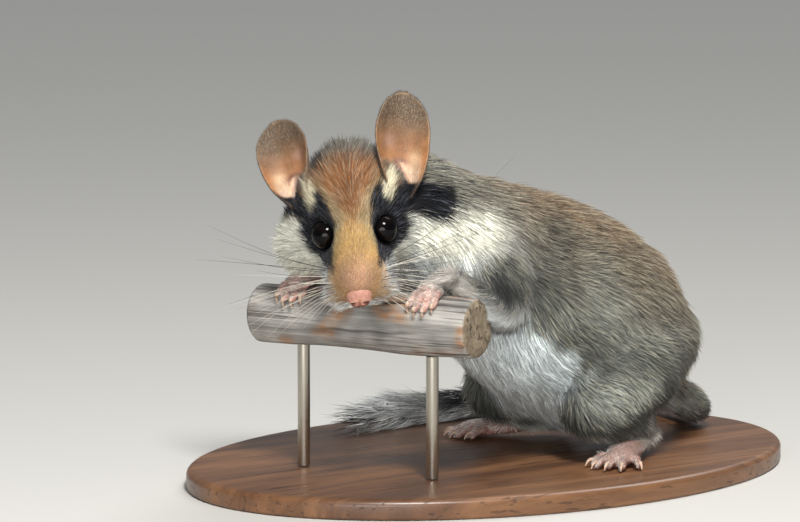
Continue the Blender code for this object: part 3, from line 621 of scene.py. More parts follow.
def forepaw_shells(side):
    """The palm laid over the branch and four fingers, each with a knuckle and a round pad at its tip."""
    run, wrist = PAW_RUNS[side], WRISTS[side]
    palm = tube_grid(
        [wrist, (wrist + on_perch(run, -6, 3.4)) / 2, on_perch(run, -2, 2.4), on_perch(run, 16, 1.9)],
        (2.9, 2.8, 3.1, 2.8), 24, 36, flat=0.64)
    grids = [palm]
    for across, reach in zip(FINGERS_ACROSS, FINGER_REACH):
        turns = np.linspace(8, reach, 7)
        heights = 1.3 + np.array([0.2, 0.35, 0.1, 0.35, 0.1, 0.1, 0.0])
        finger = [on_perch(run + across * (0.7 + 0.05 * n), turn, heights[n]) for n, turn in enumerate(turns)]
        grids.append(tube_grid(finger, (1.2, 1.05, 0.92, 1.0, 0.88, 1.0, 0.8), 22, 18))
    return [outward(*closed_faces(grid)) for grid in grids]


def toe_line(k, side):
    """Root, knuckle and tip of a hind toe."""
    heel, ball = np.array(HEEL), np.array(BALL)
    ahead = unit((ball - heel) * (1, 1, 0))
    across = np.array([-ahead[1], ahead[0], 0.0])
    tip = np.array(TOE_TIPS[k])
    root = ball + across * (2 - k) * 1.35 + ahead * (0.5 - 0.45 * abs(k - 2) ** 1.6)
    root[2] = 1.9
    knuckle = root * 0.45 + tip * 0.55 + np.array([0, 0, 0.75])
    return mirrored([root, knuckle, tip], side)


def hindfoot_shells(side):
    """The long sole, flat on the base, and five toes with raised knuckles."""
    heel, ball = np.array(HEEL), np.array(BALL)
    sole = tube_grid(
        mirrored([heel, (heel + ball) / 2 + (0, 0, 0.1), ball, ball + (ball - heel) * 0.12], side),
        (3.6, 3.5, 3.9, 3.5), 36, 36, flat=0.6)
    toes = [
        tube_grid(toe_line(k, side) + (0, 0, 0.1), (1.3, 1.05, 1.12, 0.92, 1.02), 22, 18)
        for k in range(len(TOE_TIPS))]
    return [outward(*closed_faces(grid)) for grid in (sole, *toes)]


def on_side(place, side):
    """A place or direction of the head's left as it is, or mirrored to its right."""
    return np.array(place) * (1, 1 if side == "left" else -1, 1)


def from_ridge(share, across):
    """How far across an ear a place lies from the ridge beside the canal."""
    return across - 0.05 - 2.2 * (0.33 - share)


def ear_grids(side, rows, cols):
    """The outer (back) and inner (cup) faces of an ear, with each row's share of its length and each
    column's place across it. Each section across the ear is an arc that opens toward EAR_FACING; its half
    angle is past 90 degrees at the root, where it is a funnel. The edge nearer the crown rolls in, a ridge
    stands beside the canal and fine folds run up the cup."""
    sign = 1 if side == "left" else -1
    root, tip = on_side(EAR_ROOT, side), np.array(EAR_TIPS[side])
    up = unit(tip - root)
    facing = on_side(EAR_FACING, side)
    facing = unit(facing - up * (facing @ up))
    out = np.cross(up, facing) * sign
    out = out if out[1] * sign > 0 else -out
    share = 0.5 * (1 - np.cos(math.pi * np.linspace(0, 1, rows))) * 0.6 + np.linspace(0, 1, rows) * 0.4
    table = np.array(EAR_STATIONS)
    wide = eased(table[:, 0], table[:, 1], share)
    half = np.radians(eased(table[:, 0], table[:, 2], share))
    radius = wide / np.sin(np.minimum(half, math.pi / 2))
    across = np.linspace(-1, 1, cols)
    rolled = np.sin(math.pi * np.clip((share - 0.08) / 0.7, 0, 1))[:, None]
    roll = 0.16 * step_between(-0.6, -1, across) * rolled
    turn = half[:, None] * (across - roll)
    spine = root + (tip - root) * share[:, None] - facing * 2.2 * share[:, None] ** 2
    forward = (1 - np.cos(turn))[..., None] * facing
    sideways = np.sin(turn)[..., None] * out
    outer = spine[:, None, :] + radius[:, None, None] * (forward + sideways)
    rim = np.minimum(1 - np.abs(across), 0.3) / 0.3
    thick = EAR_THICK * (0.55 + 0.45 * rim)[None, :] * (1 - 0.25 * share)[:, None]
    fold = 0.07 * np.sin(9 * across[None, :] + 5 * share[:, None]) * np.sin(math.pi * share)[:, None]
    ridge = hump(from_ridge(share[:, None], across[None, :]), 0, 0.13)
    ridge = 0.6 * ridge * step_between(0.08, 0.15, share)[:, None] * step_between(0.38, 0.32, share)[:, None]
    inward = np.cos(turn)[..., None] * facing - np.sin(turn)[..., None] * out
    skin = 0.1 + (fold * rim[None, :])[..., None]
    inner = outer + (skin + (thick + ridge)[..., None]) * inward
    return head_point(outer + skin * inward), head_point(inner), share, across


# The coat's lie and length
def guide(points, radii, count=28):
    """Samples along a part's middle line: places, radii, directions and shares of its length."""
    centre, share = path_points(points, count)
    radius = eased(np.linspace(0, 1, len(radii)), radii, share)
    return centre, radius, unit(np.gradient(centre, axis=0)), share


def stations_guide(stations, at, axes, count):
    """The middle line of a body of stations, from its last station to its first."""
    table = np.array(stations)[1:-1]
    centre = placed(np.stack([table[:, 0], 0 * table[:, 0], table[:, 1]], axis=1), at, axes)[::-1]
    return guide(centre, table[::-1, 2:].mean(axis=1), count)


def part_guides():
    """The middle lines of the parts, each from where its hair starts toward where the hair points."""
    guides = {
        "trunk": stations_guide(TRUNK_STATIONS, TRUNK_AT, TRUNK_AXES, 40),
        "neck": guide(NECK_PATH[::-1], NECK_RADII[::-1]),
        "head": stations_guide(HEAD_STATIONS, HEAD_AT, HEAD_AXES, 32),
    }
    for side in SIDES:
        paw = [WRISTS[side], on_perch(PAW_RUNS[side], -2, 2.4), on_perch(PAW_RUNS[side], 45, 1.5)]
        guides["foreleg_" + side] = guide(limb_path(side), ARM_RADII)
        guides["forepaw_" + side] = guide(paw, (2.9, 3.3, 3.0), 12)
        guides["thigh_" + side] = guide(mirrored([HIP, THIGH, KNEE], side), THIGH_RADII)
        guides["shank_" + side] = guide(mirrored([KNEE, SHANK, HEEL], side), SHANK_RADII)
        guides["hindfoot_" + side] = guide(mirrored([HEEL, BALL, TOE_TIPS[2]], side), (3.8, 4.4, 5.0), 16)
        ear = head_point([on_side(EAR_ROOT, side), EAR_TIPS[side]])
        guides["ear_" + side] = guide(ear, (2.5, 6.0, 5.0), 12)
    guides["tail"] = guide(TAIL_PATH, TAIL_RADII, 60)
    return guides


GUIDES = part_guides()
PARTS = tuple(GUIDES)


def claims(points, softness=1.6):
    """For each part, how much it claims each point, exp(-distance from its surface / softness) as shares of
    one, the share of the part's length that the point lies at, and its own direction there."""
    nearness, places, ways = [], [], []
    for name in PARTS:
        centre, radius, way, share = GUIDES[name]
        away = np.linalg.norm(points[:, None] - centre[None], axis=2) - radius
        nearest = away.min(axis=1)
        soft = np.exp(-(away - nearest[:, None]) / softness)
        soft /= soft.sum(axis=1, keepdims=True)
        nearness.append(nearest)
        places.append(soft @ share)
        ways.append(soft @ way)
    nearness = np.array(nearness)
    claim = np.exp(-(nearness - nearness.min(axis=0)) / softness)
    return claim / claim.sum(axis=0), np.array(places), np.array(ways)


def beside(place, side):
    """A place or direction of the head's left for each point, mirrored where the point's side is -1."""
    return np.stack([0 * side + place[0], place[1] * side, 0 * side + place[2]], axis=1)


def head_way(points):
    """Hair runs back from the nose, a little down over the cheeks, parts round the eyes and stands up as a
    brush in front of each ear."""
    local = in_head(points)
    side = np.where(local[:, 1] < 0, -1.0, 1.0)
    low = step_between(0.0, -6.0, local[:, 2])
    way = np.stack([-np.ones(len(local)), side * (0.18 + 0.25 * low), -0.35 * low], axis=1)
    way[:, 2] += 0.5 * step_between(-2, 6, local[:, 0]) * (1 - low)
    out = local - beside(EYE_AT, side)
    reach = np.linalg.norm(out, axis=1)
    out /= np.maximum(reach, 1e-6)[:, None]
    round_eye = np.exp(-np.maximum(reach - EYE_R, 0) / 2.2)
    into = np.minimum((way * out).sum(axis=1), 0.0)
    way += out * (-into * round_eye + 0.35 * round_eye)[:, None]
    for shape, lean in ((PAD_FUR, (-0.6, 0.8, -0.5)), (EAR_TUFT, (-0.25, 0.6, 0.9))):
        share = stroke(both_sides(local), shape, 1.0)[:, None]
        way = way * (1 - share) + share * beside(lean, side)
    return way @ HEAD_AXES.T


def trunk_way(points):
    """Hair runs back along the trunk, and down the chest and belly."""
    local = in_trunk(points)
    turn = np.degrees(np.arctan2(np.abs(local[:, 1]), local[:, 2]))
    chest = step_between(85, 118, turn) * step_between(22, 44, local[:, 0])
    flank = step_between(20, 80, turn)
    back = -TRUNK_AXES[:, 0]
    down = np.array([0.0, 0.0, -1.0])
    return back * (1 - 0.75 * chest)[:, None] + down * (0.1 * flank + 0.8 * chest)[:, None]


def coat_fields(points, region, coat):
    """The lie, length and lift of the coat at points of the skin, with each part's claim."""
    claim, place, ways = body_claims(points, region)
    part = dict(zip(PARTS, claim))
    along_tail = place[PARTS.index("tail")]
    ways[PARTS.index("head")] = head_way(points)
    ways[PARTS.index("trunk")] = trunk_way(points)
    for side in SIDES:
        ways[PARTS.index("thigh_" + side)] = 0.6 * trunk_way(points) + np.array([0.3, 0.0, -0.35])
        ways[PARTS.index("shank_" + side)] = np.array([0.78, 0.0, -0.62])
    way = (claim[..., None] * ways).sum(axis=0)

    local = in_head(points)
    where = both_sides(local)
    eye = np.linalg.norm(where - EYE_AT, axis=1)
    head = coat.head_length / MM * column(HEAD_HAIR, local[:, 0])
    head = head * (1 + 0.55 * step_between(-1, -7, local[:, 2]) * step_between(4, -6, local[:, 0]))
    head = np.minimum(head, 1.3 + 0.5 * np.maximum(eye - EYE_R, 0))
    brush, pad = stroke(where, EAR_TUFT, 0.8), stroke(where, PAD_FUR, 1.2)
    head = head + (3.6 - head) * brush
    head = head + (5.0 - head) * pad
    head = head + (1.2 - head) * stroke(where, EAR_FRONT, 0.8)
    back = coat.back_length / MM
    tail = coat.tail_length / MM * np.interp(along_tail, (0, 0.5, 0.7, 1), (0.35, 0.38, 0.62, 1.0))
    lengths = {"head": head, "trunk": back, "neck": 0.92 * back, "tail": tail}
    for side in SIDES:
        arm, shank = (place[PARTS.index(name + side)] for name in ("foreleg_", "shank_"))
        lengths["foreleg_" + side] = back * np.interp(arm, (0, 0.4, 0.75, 1), (0.85, 0.72, 0.6, 0.5))
        lengths["shank_" + side] = back * np.interp(shank, (0, 0.5, 1), (0.8, 0.58, 0.34))
        lengths["thigh_" + side] = 0.95 * back
        lengths["forepaw_" + side] = 1.3 + 1.4 * near_wrist(points)
        lengths["hindfoot_" + side] = 1.3
        lengths["ear_" + side] = 0.8
    length = sum(part[name] * lengths[name] for name in PARTS)
    lift = np.degrees(coat.lift) * (1 + (0.9 * brush + 1.5 * pad - 0.1) * part["head"])
    lift = lift + part["tail"] * np.interp(along_tail, (0, 0.5, 1), (-4, 0, 8))
    lift = lift - 9 * sum(part["forepaw_" + side] + part["hindfoot_" + side] for side in SIDES)
    return way, length, lift, part, claim, place


# Markings
# forward place on the head and the half width of the tan blaze there
BLAZE_WIDTHS = (
    (-24, 8.5), (-18, 6.6), (-14, 5.3), (-9, 5.4), (-6.5, 6.2), (-4.5, 6.3), (-3, 5.5), (-1.7, 4.6),
    (0.5, 3.2), (3.2, 2.4), (5.4, 2.8), (6.5, 3.6), (7.8, 4.3), (10.2, 4.7), (14, 4.8), (16.5, 5.2),
    (18.5, 4.4), (21, 3.0),
)
# forward place on the head and the blaze's colour there
BLAZE_STOPS = (
    (-24, "crown"), (-11, "crown"), (-6, "forehead"), (2, "forehead"), (8, "bridge"), (12, "bridge"),
    (18, "muzzle"),
)
# forward place on the head and the height below which the cheeks are pale
CHEEK_HEIGHTS = (
    (-24, 4.0), (-14, 2.5), (-9, 0.5), (-5.5, -0.8), (-4.2, 0.4), (-3.2, 0.8), (-2.6, -0.6), (-1.6, -2.4),
    (0, -4.0), (2, -4.4), (5, -4.2), (7.5, -3.6), (10.2, -3.1), (14, -2.2), (18, -4.4), (21, -6.0),
)
# forward, left and up of both ends and the radius of each dark stroke, whose inner edge is the blaze
MASK_STROKES = (
    ((1.8, 8.6, 0.8), (1.8, 8.6, 0.8), 5.9),
    ((1.0, 7.0, 4.0), (-1.4, 6.6, 7.2), 2.9),
    ((3.5, 7.4, -1.4), (7.0, 6.6, -1.4), 3.3),
    ((7.0, 6.4, -1.4), (10.2, 6.2, -1.8), 2.1),
    ((10.2, 6.2, -1.8), (14.4, 5.3, -1.4), 1.0),
    ((-2.5, 10.8, 3.0), (-7.0, 15.5, 2.6), 2.8),
    ((-4.0, 10.2, 3.6), (-8.5, 13.2, 3.8), 2.4),
    ((-7.2, 16.0, 2.8), (-8.7, 19.4, 1.6), 4.0),
    ((-7.4, 6.4, 12.4), (-16.0, 6.7, 13.4), 1.5),
)
# strokes on the left of the head, given as above
PAD_FUR = ((6.5, 6.8, -8.4), (16.5, 4.6, -8.3), 3.0)
EAR_TUFT = ((-6.8, 8.2, 7.8), (-3.8, 8.0, 5.8), 1.8)
EAR_FRONT = ((-5.4, 11.6, 5.6), (-7.0, 14.0, 4.2), 2.2)
# strokes in the animal's frame, on its right and mirrored to its left
NECK_PATCH = ((-62.0, 11.0, 59.0), (-51.0, 14.8, 60.0), 5.6)
# the stroke below darkens the coat behind the elbow: partly dark fur, partly painted shadow between the
# foreleg and the chest
ELBOW_FUR_AND_SHADOW = ((-53.0, 20.0, 52.5), (-48.0, 25.5, 43.5), 2.8)
THIGH_LIGHT = ((-23.0, 24.0, 17.0), (-11.0, 27.0, 20.0), 4.0)
# the stroke below darkens the rear of the thigh: partly a darker coat, partly painted shade
THIGH_SHADE = ((-1.0, 27.0, 17.0), (-10.0, 26.0, 10.0), 5.0)
# strokes in the trunk's own frame, each with its softness, its shade of the flank's colour and its share
FLANK_STROKES = (
    (((16.0, 21.0, -10.0), (23.0, 21.0, -10.0), 5.0), 3.0, 0.42, 0.5),
    (((24.0, 24.0, 2.0), (7.0, 26.0, -2.0), 5.5), 4.5, 1.6, 0.7),
    # the stroke below darkens the shoulder behind the foreleg: partly a darker coat, partly painted shade
    (((38.0, 22.0, -10.0), (39.0, 16.0, 13.0), 5.0), 4.5, 0.5, 0.7),
)
# place along the trunk and the turn from the spine, in degrees, past which its hair is white
WHITE_LINE = ((-20, 140), (0, 135), (18, 131), (26, 120), (36, 118), (47, 100), (60, 92), (72, 85))
# forward place on the head and the hair's length there as a share of its longest
HEAD_HAIR = ((-20, 1.0), (-12, 0.86), (-6, 0.72), (0, 0.56), (6, 0.44), (12, 0.34), (17, 0.22), (20, 0.13))


def palette(colours):
    """The colour settings as arrays of linear light."""
    names = DormouseColours.__annotations__
    return SimpleNamespace(**{name: np.array(getattr(colours, name)) for name in names})


def tinted(base, colour, mask):
    """One colour laid over another by a mask."""
    return base + (np.asarray(colour) - base) * np.asarray(mask)[..., None]


def ramp(value, stops):
    """A colour that runs straight through stops of (value, linear colour)."""
    return read_rows(value, [stop for stop, _ in stops], np.array([colour for _, colour in stops]))


def stroke(where, shape, soft=0.7):
    """1 within a radius of the line between two places, 0 outside it."""
    start, end, radius = shape
    return step_between(radius + soft, radius - soft, from_line(where, start, end))


def head_tint(local, colours):
    """The tan blaze between the masks, cream cheeks below them and a pale chin."""
    where = both_sides(local)
    forward, side, up = where.T
    width = column(BLAZE_WIDTHS, forward)
    colour = ramp(forward, [(at, getattr(colours, name)) for at, name in BLAZE_STOPS])
    crown = step_between(width - 1.0, width + 1.5, side) * step_between(-5, -9, forward)
    colour = tinted(colour, colours.crown * 0.75, 0.7 * crown)
    edge = step_between(width - 2.2, width - 0.2, side)
    gold = edge * step_between(-7, -4, forward) * step_between(12, 8, forward)
    colour = tinted(colour, colours.cream * (0.5, 0.42, 0.26), 0.6 * gold)
    line = column(CHEEK_HEIGHTS, forward)
    below = step_between(line + 0.6, line - 0.7, up)
    below = below * step_between(width - 1.2, width + 0.4, side + 3 * (up < -7))
    cheek = tinted(np.broadcast_to(colours.cream, colour.shape), colours.white, step_between(0, 9, forward))
    colour = tinted(colour, cheek, below)
    beside_nose = stroke(where, ((13.0, 5.6, -3.2), (18.5, 3.2, -5.0), 1.8), 1.2)
    return tinted(colour, colours.bridge * (1.0, 0.92, 0.9), 0.75 * beside_nose)


def mask_claim(where):
    """How much the black mask covers a place of the head, given with its left side only."""
    forward, side, _ = where.T
    width = column(BLAZE_WIDTHS, forward)
    dark = np.max([stroke(where, shape, 0.4) for shape in MASK_STROKES], axis=0)
    return dark * step_between(width - 0.4, width + 0.3, side)


def trunk_tint(points, colours):
    """Warm brown over the spine, greyer down the flanks and white below a line along the side; the white is
    darker low on the belly, partly as painted shade and partly as grey underfur.
    """
    local = in_trunk(points)
    turn = np.degrees(np.arctan2(np.abs(local[:, 1]), local[:, 2]))
    patch = 0.5 * ripple(points, 16.0, 21)
    spine, flank = colours.spine, colours.flank
    colour = ramp(turn + 9 * patch, (
        (0, spine), (32, spine), (75, (spine + 2 * flank) / 3), (100, flank),
        (128, flank * (1.12, 1.14, 1.16))))
    # the third stroke is partly painted shade behind the foreleg
    for shape, soft, shade, share in FLANK_STROKES:
        colour = tinted(colour, flank * shade, share * stroke(both_sides(local), shape, soft))
    line = column(WHITE_LINE, local[:, 0]) + 4 * ripple(points, 9.0, 22)
    # the white is painted darker low on the belly: partly painted shade, partly grey underfur
    light = 0.6 + 0.4 * step_between(14, 30, points[:, 2])
    white = colours.white * (0.92, 1.0, 1.04) * light[:, None]
    return tinted(colour, white, step_between(line - 7, line + 6, turn))


def neck_tint(points, colours):
    """Grey-brown over the nape, greyer at the sides and white below."""
    centre = GUIDES["neck"][0]
    off = points - read_rows(points[:, 0], centre[:, 0], centre)
    turn = np.degrees(np.arctan2(np.abs(off[:, 1]), off[:, 2]))
    spine, flank = colours.spine, colours.flank
    colour = ramp(turn, (
        (0, (spine + flank) / 2), (30, flank * (0.9, 0.95, 1.0)), (60, flank * 1.1),
        (90, flank * (1.3, 1.36, 1.42))))
    return tinted(colour, colours.white, step_between(88, 108, turn))


def leg_tints(points, colours):
    """The coat's colours on the foreleg and on the thigh; the thigh is painted darker toward the bottom as
    the shade below the body.
    """
    mirror = both_sides(points)
    outer = step_between(12, 20, mirror[:, 1])
    white, flank = colours.white, colours.flank
    plain = np.broadcast_to(white, points.shape)
    arm = tinted(plain, flank * 0.7, outer * step_between(39, 47, points[:, 2]))
    arm = tinted(arm, white * (0.6, 0.56, 0.52), step_between(-52, -57, points[:, 0]) * outer)
    # the thigh is painted darker toward the bottom: painted shade below the body
    thigh = ramp(points[:, 2] + 3 * ripple(points, 12.0, 23), (
        (3, white * (0.7, 0.67, 0.62)), (8, flank * 0.3), (14, flank * 0.26), (22, flank * 0.5),
        (34, flank * 0.95)))
    thigh = tinted(thigh, flank * (2.1, 2.15, 2.2), 0.8 * stroke(mirror, THIGH_LIGHT, 3.5))
    return arm, tinted(plain, thigh, step_between(9, 15, mirror[:, 1]))


def tail_tint(points, colours):
    """Grey-brown at the root, black along the top, white below and at the tip."""
    flank, black, along = colours.flank, colours.mask, step_between(-8, 34, points[:, 1])
    colour = ramp(along, ((0, flank * 0.8), (0.45, flank * 0.3 + black * 0.5), (1, black * 1.6)))
    under, tip = step_between(4.2, 2.6, points[:, 2]), step_between(-2, -26, points[:, 0])
    return tinted(colour, colours.white, np.maximum(under, tip))


def coat_base(points, part, colours):
    """The coat's colour at points of the skin: each part's own, blended by its claim, with the marks laid
    over."""
    mirror, local = both_sides(points), in_head(points)
    where = both_sides(local)
    arm, thigh = leg_tints(points, colours)
    paw = np.broadcast_to(colours.white * (0.98, 0.86, 0.8), points.shape)
    ear = np.broadcast_to(colours.ear_skin * (0.36, 0.45, 0.55), points.shape)
    own = {
        "head": head_tint(local, colours), "trunk": trunk_tint(points, colours),
        "neck": neck_tint(points, colours), "tail": tail_tint(points, colours), "foreleg": arm,
        "thigh": thigh, "shank": thigh, "forepaw": paw, "hindfoot": paw, "ear": ear,
    }
    colour = sum(part[name][:, None] * own[name.split("_")[0]] for name in PARTS)
    neck_patch = stroke(mirror, NECK_PATCH, 3.2) * step_between(0.9, 0.3, part["head"])
    colour = tinted(colour, colours.cream, neck_patch)
    # behind the elbow: dark fur and painted shadow
    colour = tinted(colour, colours.mask * 1.1, 0.95 * stroke(mirror, ELBOW_FUR_AND_SHADOW, 3.4))
    # the rear thigh darkened: partly a darker coat, partly painted shade
    colour = tinted(colour, colours.flank * 0.3, 0.6 * stroke(mirror, THIGH_SHADE, 4.0))
    colour = tinted(colour, colours.mask, mask_claim(where))
    return tinted(colour, colours.cream * (0.98, 0.9, 0.76), stroke(where, EAR_TUFT, 0.5))


# Tufts
# cells along each side of the unwrap, and a tuft's size on it
CELLS = 4
PATCH = 0.003


def unwrap(points, claim, place):
    """Where each point lies on an unwrap of the animal's own shape: a cell of a square for its part, the
    angle round the part's middle line across the cell and the share along it up the cell."""
    index = claim.argmax(axis=0)
    share = place[index, np.arange(len(points))]
    angle = np.zeros(len(points))
    for k, name in enumerate(PARTS):
        mine = index == k
        centre, _, way, along = GUIDES[name]
        ahead = unit(way.mean(axis=0))
        one = unit(np.cross(ahead, (0.31, 0.2, 0.93)))
        off = points[mine] - read_rows(share[mine], along, centre)
        angle[mine] = np.arctan2(off @ np.cross(ahead, one), off @ one)
    cell = index % (CELLS * CELLS)
    inside = np.stack([angle / (2 * math.pi) + 0.5, share], axis=1) * 0.94 + 0.03
    return (np.stack([cell % CELLS, cell // CELLS], axis=1) + inside) / CELLS


def scattered(points, quads, density, seed):
    """Roots over a surface of quads: its triangles' areas times the density are added up, and a root is
    drawn in each whole step of the sum. Gives each root's three corners and their shares."""
    chance = np.random.default_rng(seed)
    corners = np.concatenate([quads[:, [0, 1, 2]], quads[:, [0, 2, 3]]])
    a, b, c = (points[corners[:, k]] for k in range(3))
    area = 0.5 * np.linalg.norm(np.cross(b - a, c - a), axis=1)
    total = np.cumsum(area * density[corners].mean(axis=1))
    steps = np.arange(int(total[-1]))
    chosen = np.minimum(np.searchsorted(total, steps + chance.random(len(steps))), len(corners) - 1)
    one, two = chance.random((2, len(steps)))
    over = one + two > 1
    one[over], two[over] = 1 - one[over], 1 - two[over]
    return corners[chosen], np.stack([1 - one - two, one, two], axis=1)


def at_roots(values, corners, shares):
    """Values of the skin's points at the roots."""
    return (values[corners] * shares.reshape(shares.shape + (1,) * (values.ndim - 1))).sum(axis=1)


def tuft_mesh(name, tufts, bent, material):
    """Closed tapered tufts of three sides. A bent one is a root point, a ring of three corners about its
    middle and a tip point; a straight one is three corners at its root and a tip point. Each is a small
    patch of the unwrap at its root's place. They are shaded mostly by the skin's own normal, so that the
    coat looks soft."""
    root, mid, tip, side, out, dark, body, light = (tufts[key] for key in (
        "root", "mid", "tip", "side", "out", "dark", "body", "light"))
    half = tufts["width"][:, None] / 2
    heart = mid if bent else root
    ring = [
        heart + side * half - out * half * 0.3, heart - side * half - out * half * 0.3,
        heart + out * half * 0.8]
    corners = [root, *ring, tip] if bent else [*ring, tip]
    tints = [dark, body, body, body, light] if bent else [dark, dark, dark, light]
    flat = np.array([[0, -0.5], [-0.5, -0.05], [0.5, -0.05], [0.0, 0.05], [0, 0.5]]) * PATCH
    shape = np.array([[2, 1, 4], [3, 2, 4], [1, 3, 4], [0, 1, 2], [0, 2, 3], [0, 3, 1]])
    if not bent:
        flat, shape = flat[1:], np.vstack([shape[:3] - 1, [[0, 1, 2]]])
    faces = (np.arange(len(root))[:, None, None] * len(corners) + shape).reshape(-1, 3)
    piece = new_piece(name, np.stack(corners, axis=1).reshape(-1, 3), [faces], material)
    spots = (tufts["place"][:, None, :] + flat[None]).reshape(-1, 2)
    layer = piece.data.uv_layers.new(name="OFBake")
    layer.data.foreach_set("uv", spots[faces.ravel()].astype(np.float32).ravel())
    paint(piece, "tint", np.stack(tints, axis=1).reshape(-1, 3))
    round_way = [side * 0.87 - out * 0.3, -side * 0.87 - out * 0.3, out * 0.8]
    soft = [tufts["facing"] + 0.45 * way for way in ([out, *round_way, out] if bent else [*round_way, out])]
    piece.data.normals_split_custom_set_from_vertices(unit(np.stack(soft, axis=1).reshape(-1, 3)))
    return piece


# Finishes
class Link:
    """A socket of a node tree whose sums, differences, products and powers add Math nodes."""

    def __init__(self, finish, socket):
        self.finish, self.socket = finish, socket

    def _with(self, operation, one, two):
        return self.finish.add("ShaderNodeMath", {"operation": operation}, {0: one, 1: two})

    def __add__(self, other):
        return self._with("ADD", self, other)

    def __sub__(self, other):
        return self._with("SUBTRACT", self, other)

    def __mul__(self, other):
        return self._with("MULTIPLY", self, other)

    def __truediv__(self, other):
        return self._with("DIVIDE", self, other)

    def __pow__(self, other):
        return self._with("POWER", self, other)

    def __rsub__(self, other):
        return self._with("SUBTRACT", other, self)

    __radd__, __rmul__ = __add__, __mul__


class Finish:
    """A material: constants on its shader's own sockets, and nodes that are added one by one."""

    def __init__(self, name, colour=(0.5, 0.5, 0.5), **constants):
        self.material = bpy.data.materials.new(name)
        self.material.use_nodes = True
        self.tree = self.material.node_tree
        self.shader = self.tree.nodes["Principled BSDF"]
        self.shader.inputs["Base Color"].default_value = (*colour, 1.0)
        for socket, value in constants.items():
            self.shader.inputs[socket.replace("_", " ")].default_value = value

    def add(self, kind, settings=None, inputs=None, output=0):
        """A node of a type, with its settings set first and then its sockets' values or links."""
        node = self.tree.nodes.new(kind)
        for key, value in (settings or {}).items():
            setattr(node, key, value)
        for key, value in (inputs or {}).items():
            self.join(node.inputs[key], value)
        return Link(self, node.outputs[output])

    def join(self, socket, value):
        if isinstance(value, Link):
            self.tree.links.new(value.socket, socket)
        else:
            socket.default_value = value

    def place(self, scale=(1.0, 1.0, 1.0), turn=(0.0, 0.0, 0.0)):
        """The piece's own coordinates in metres, turned and then scaled."""
        here = self.add("ShaderNodeTexCoord", output="Object")
        turned = self.add("ShaderNodeMapping", {}, {"Vector": here, "Rotation": turn})
        return self.add("ShaderNodeMapping", {}, {"Vector": turned, "Scale": scale})

    def noise(self, scale, where=None, detail=3.0, roughness=0.55, distortion=0.0):
        where = where or self.place()
        return self.add("ShaderNodeTexNoise", {}, {
            "Vector": where, "Scale": scale, "Detail": detail, "Roughness": roughness,
            "Distortion": distortion})

    def between(self, value, low, high, to_low=0.0, to_high=1.0):
        return self.add("ShaderNodeMapRange", {"interpolation_type": "SMOOTHSTEP"}, {
            "Value": value, "From Min": low, "From Max": high, "To Min": to_low, "To Max": to_high})

    def mix(self, factor, one, two, blend="MIX"):
        """A colour mixed of two by a factor; a display colour is given as linear light."""
        one, two = ((*c, 1.0) if not isinstance(c, Link) else c for c in (one, two))
        settings = {"data_type": "RGBA", "blend_type": blend}
        return self.add("ShaderNodeMix", settings, {0: factor, 6: one, 7: two}, 2)

    def attribute(self, name):
        return self.add("ShaderNodeAttribute", {"attribute_name": name}, output="Color")

    def set(self, **sockets):
        for socket, value in sockets.items():
            self.join(self.shader.inputs[socket.replace("_", " ")], value)
        return self

    def bump(self, height, depth, strength=1.0):
        """Raises the surface by height times a depth in millimetres."""
        self.set(Normal=self.add("ShaderNodeBump", {}, {
            "Height": height, "Distance": depth * MM, "Strength": strength}))
        return self


# soft hair, wet black eyes and smooth whiskers
PAINTED = {
    "coat": {"Roughness": 0.75, "Specular_IOR_Level": 0.14, "Sheen_Weight": 0.08, "Sheen_Roughness": 0.5},
    "eye": {"Roughness": 0.04, "Specular_IOR_Level": 0.14},
    "whisker": {"Roughness": 0.35, "Specular_IOR_Level": 0.5},
}


def painted_finish(name):
    """A plain finish whose colour is painted on the piece."""
    finish = Finish(name, **PAINTED[name])
    return finish.set(Base_Color=finish.attribute("tint")).material


def under_coat_finish():
    """The short fur below the tufts: fine combed relief over the painted markings."""
    coat = Finish("under_coat", Roughness=0.8, Specular_IOR_Level=0.15)
    strands = coat.noise(1900.0, detail=4.0)
    shade = coat.between(strands, 0.3, 0.7, 0.55, 1.05)
    coat.set(Base_Color=coat.mix(1.0, coat.attribute("tint"), shade, "MULTIPLY"))
    return coat.bump(strands, 0.25).material


def bare_skin_finish():
    """Thin pink skin with fine creases; light passes a little way into it."""
    skin = Finish("bare_skin", Roughness=0.5, Specular_IOR_Level=0.35, Subsurface_Weight=0.25,
                  Subsurface_Scale=0.0008, Subsurface_Radius=(1.0, 0.35, 0.2))
    creases = skin.noise(1500.0, detail=5.0, roughness=0.65)
    blotch = skin.between(skin.noise(260.0), 0.35, 0.65, 0.88, 1.06)
    skin.set(Base_Color=skin.mix(1.0, skin.attribute("tint"), blotch, "MULTIPLY"))
    skin.set(Roughness=skin.between(creases, 0.3, 0.7, 0.42, 0.62))
    return skin.bump(creases, 0.12).material


def claw_finish():
    """Pale horn, darker in fine ridges."""
    claw = Finish(
        "claw", Roughness=0.35, Specular_IOR_Level=0.5, Subsurface_Weight=0.15, Subsurface_Scale=0.0004)
    ridges = claw.noise(900.0, claw.place((1, 1, 3)))
    pale, dark = linear(214, 190, 170), linear(176, 140, 118)
    claw.set(Base_Color=claw.mix(claw.between(ridges, 0.3, 0.7), pale, dark))
    return claw.bump(ridges, 0.04).material


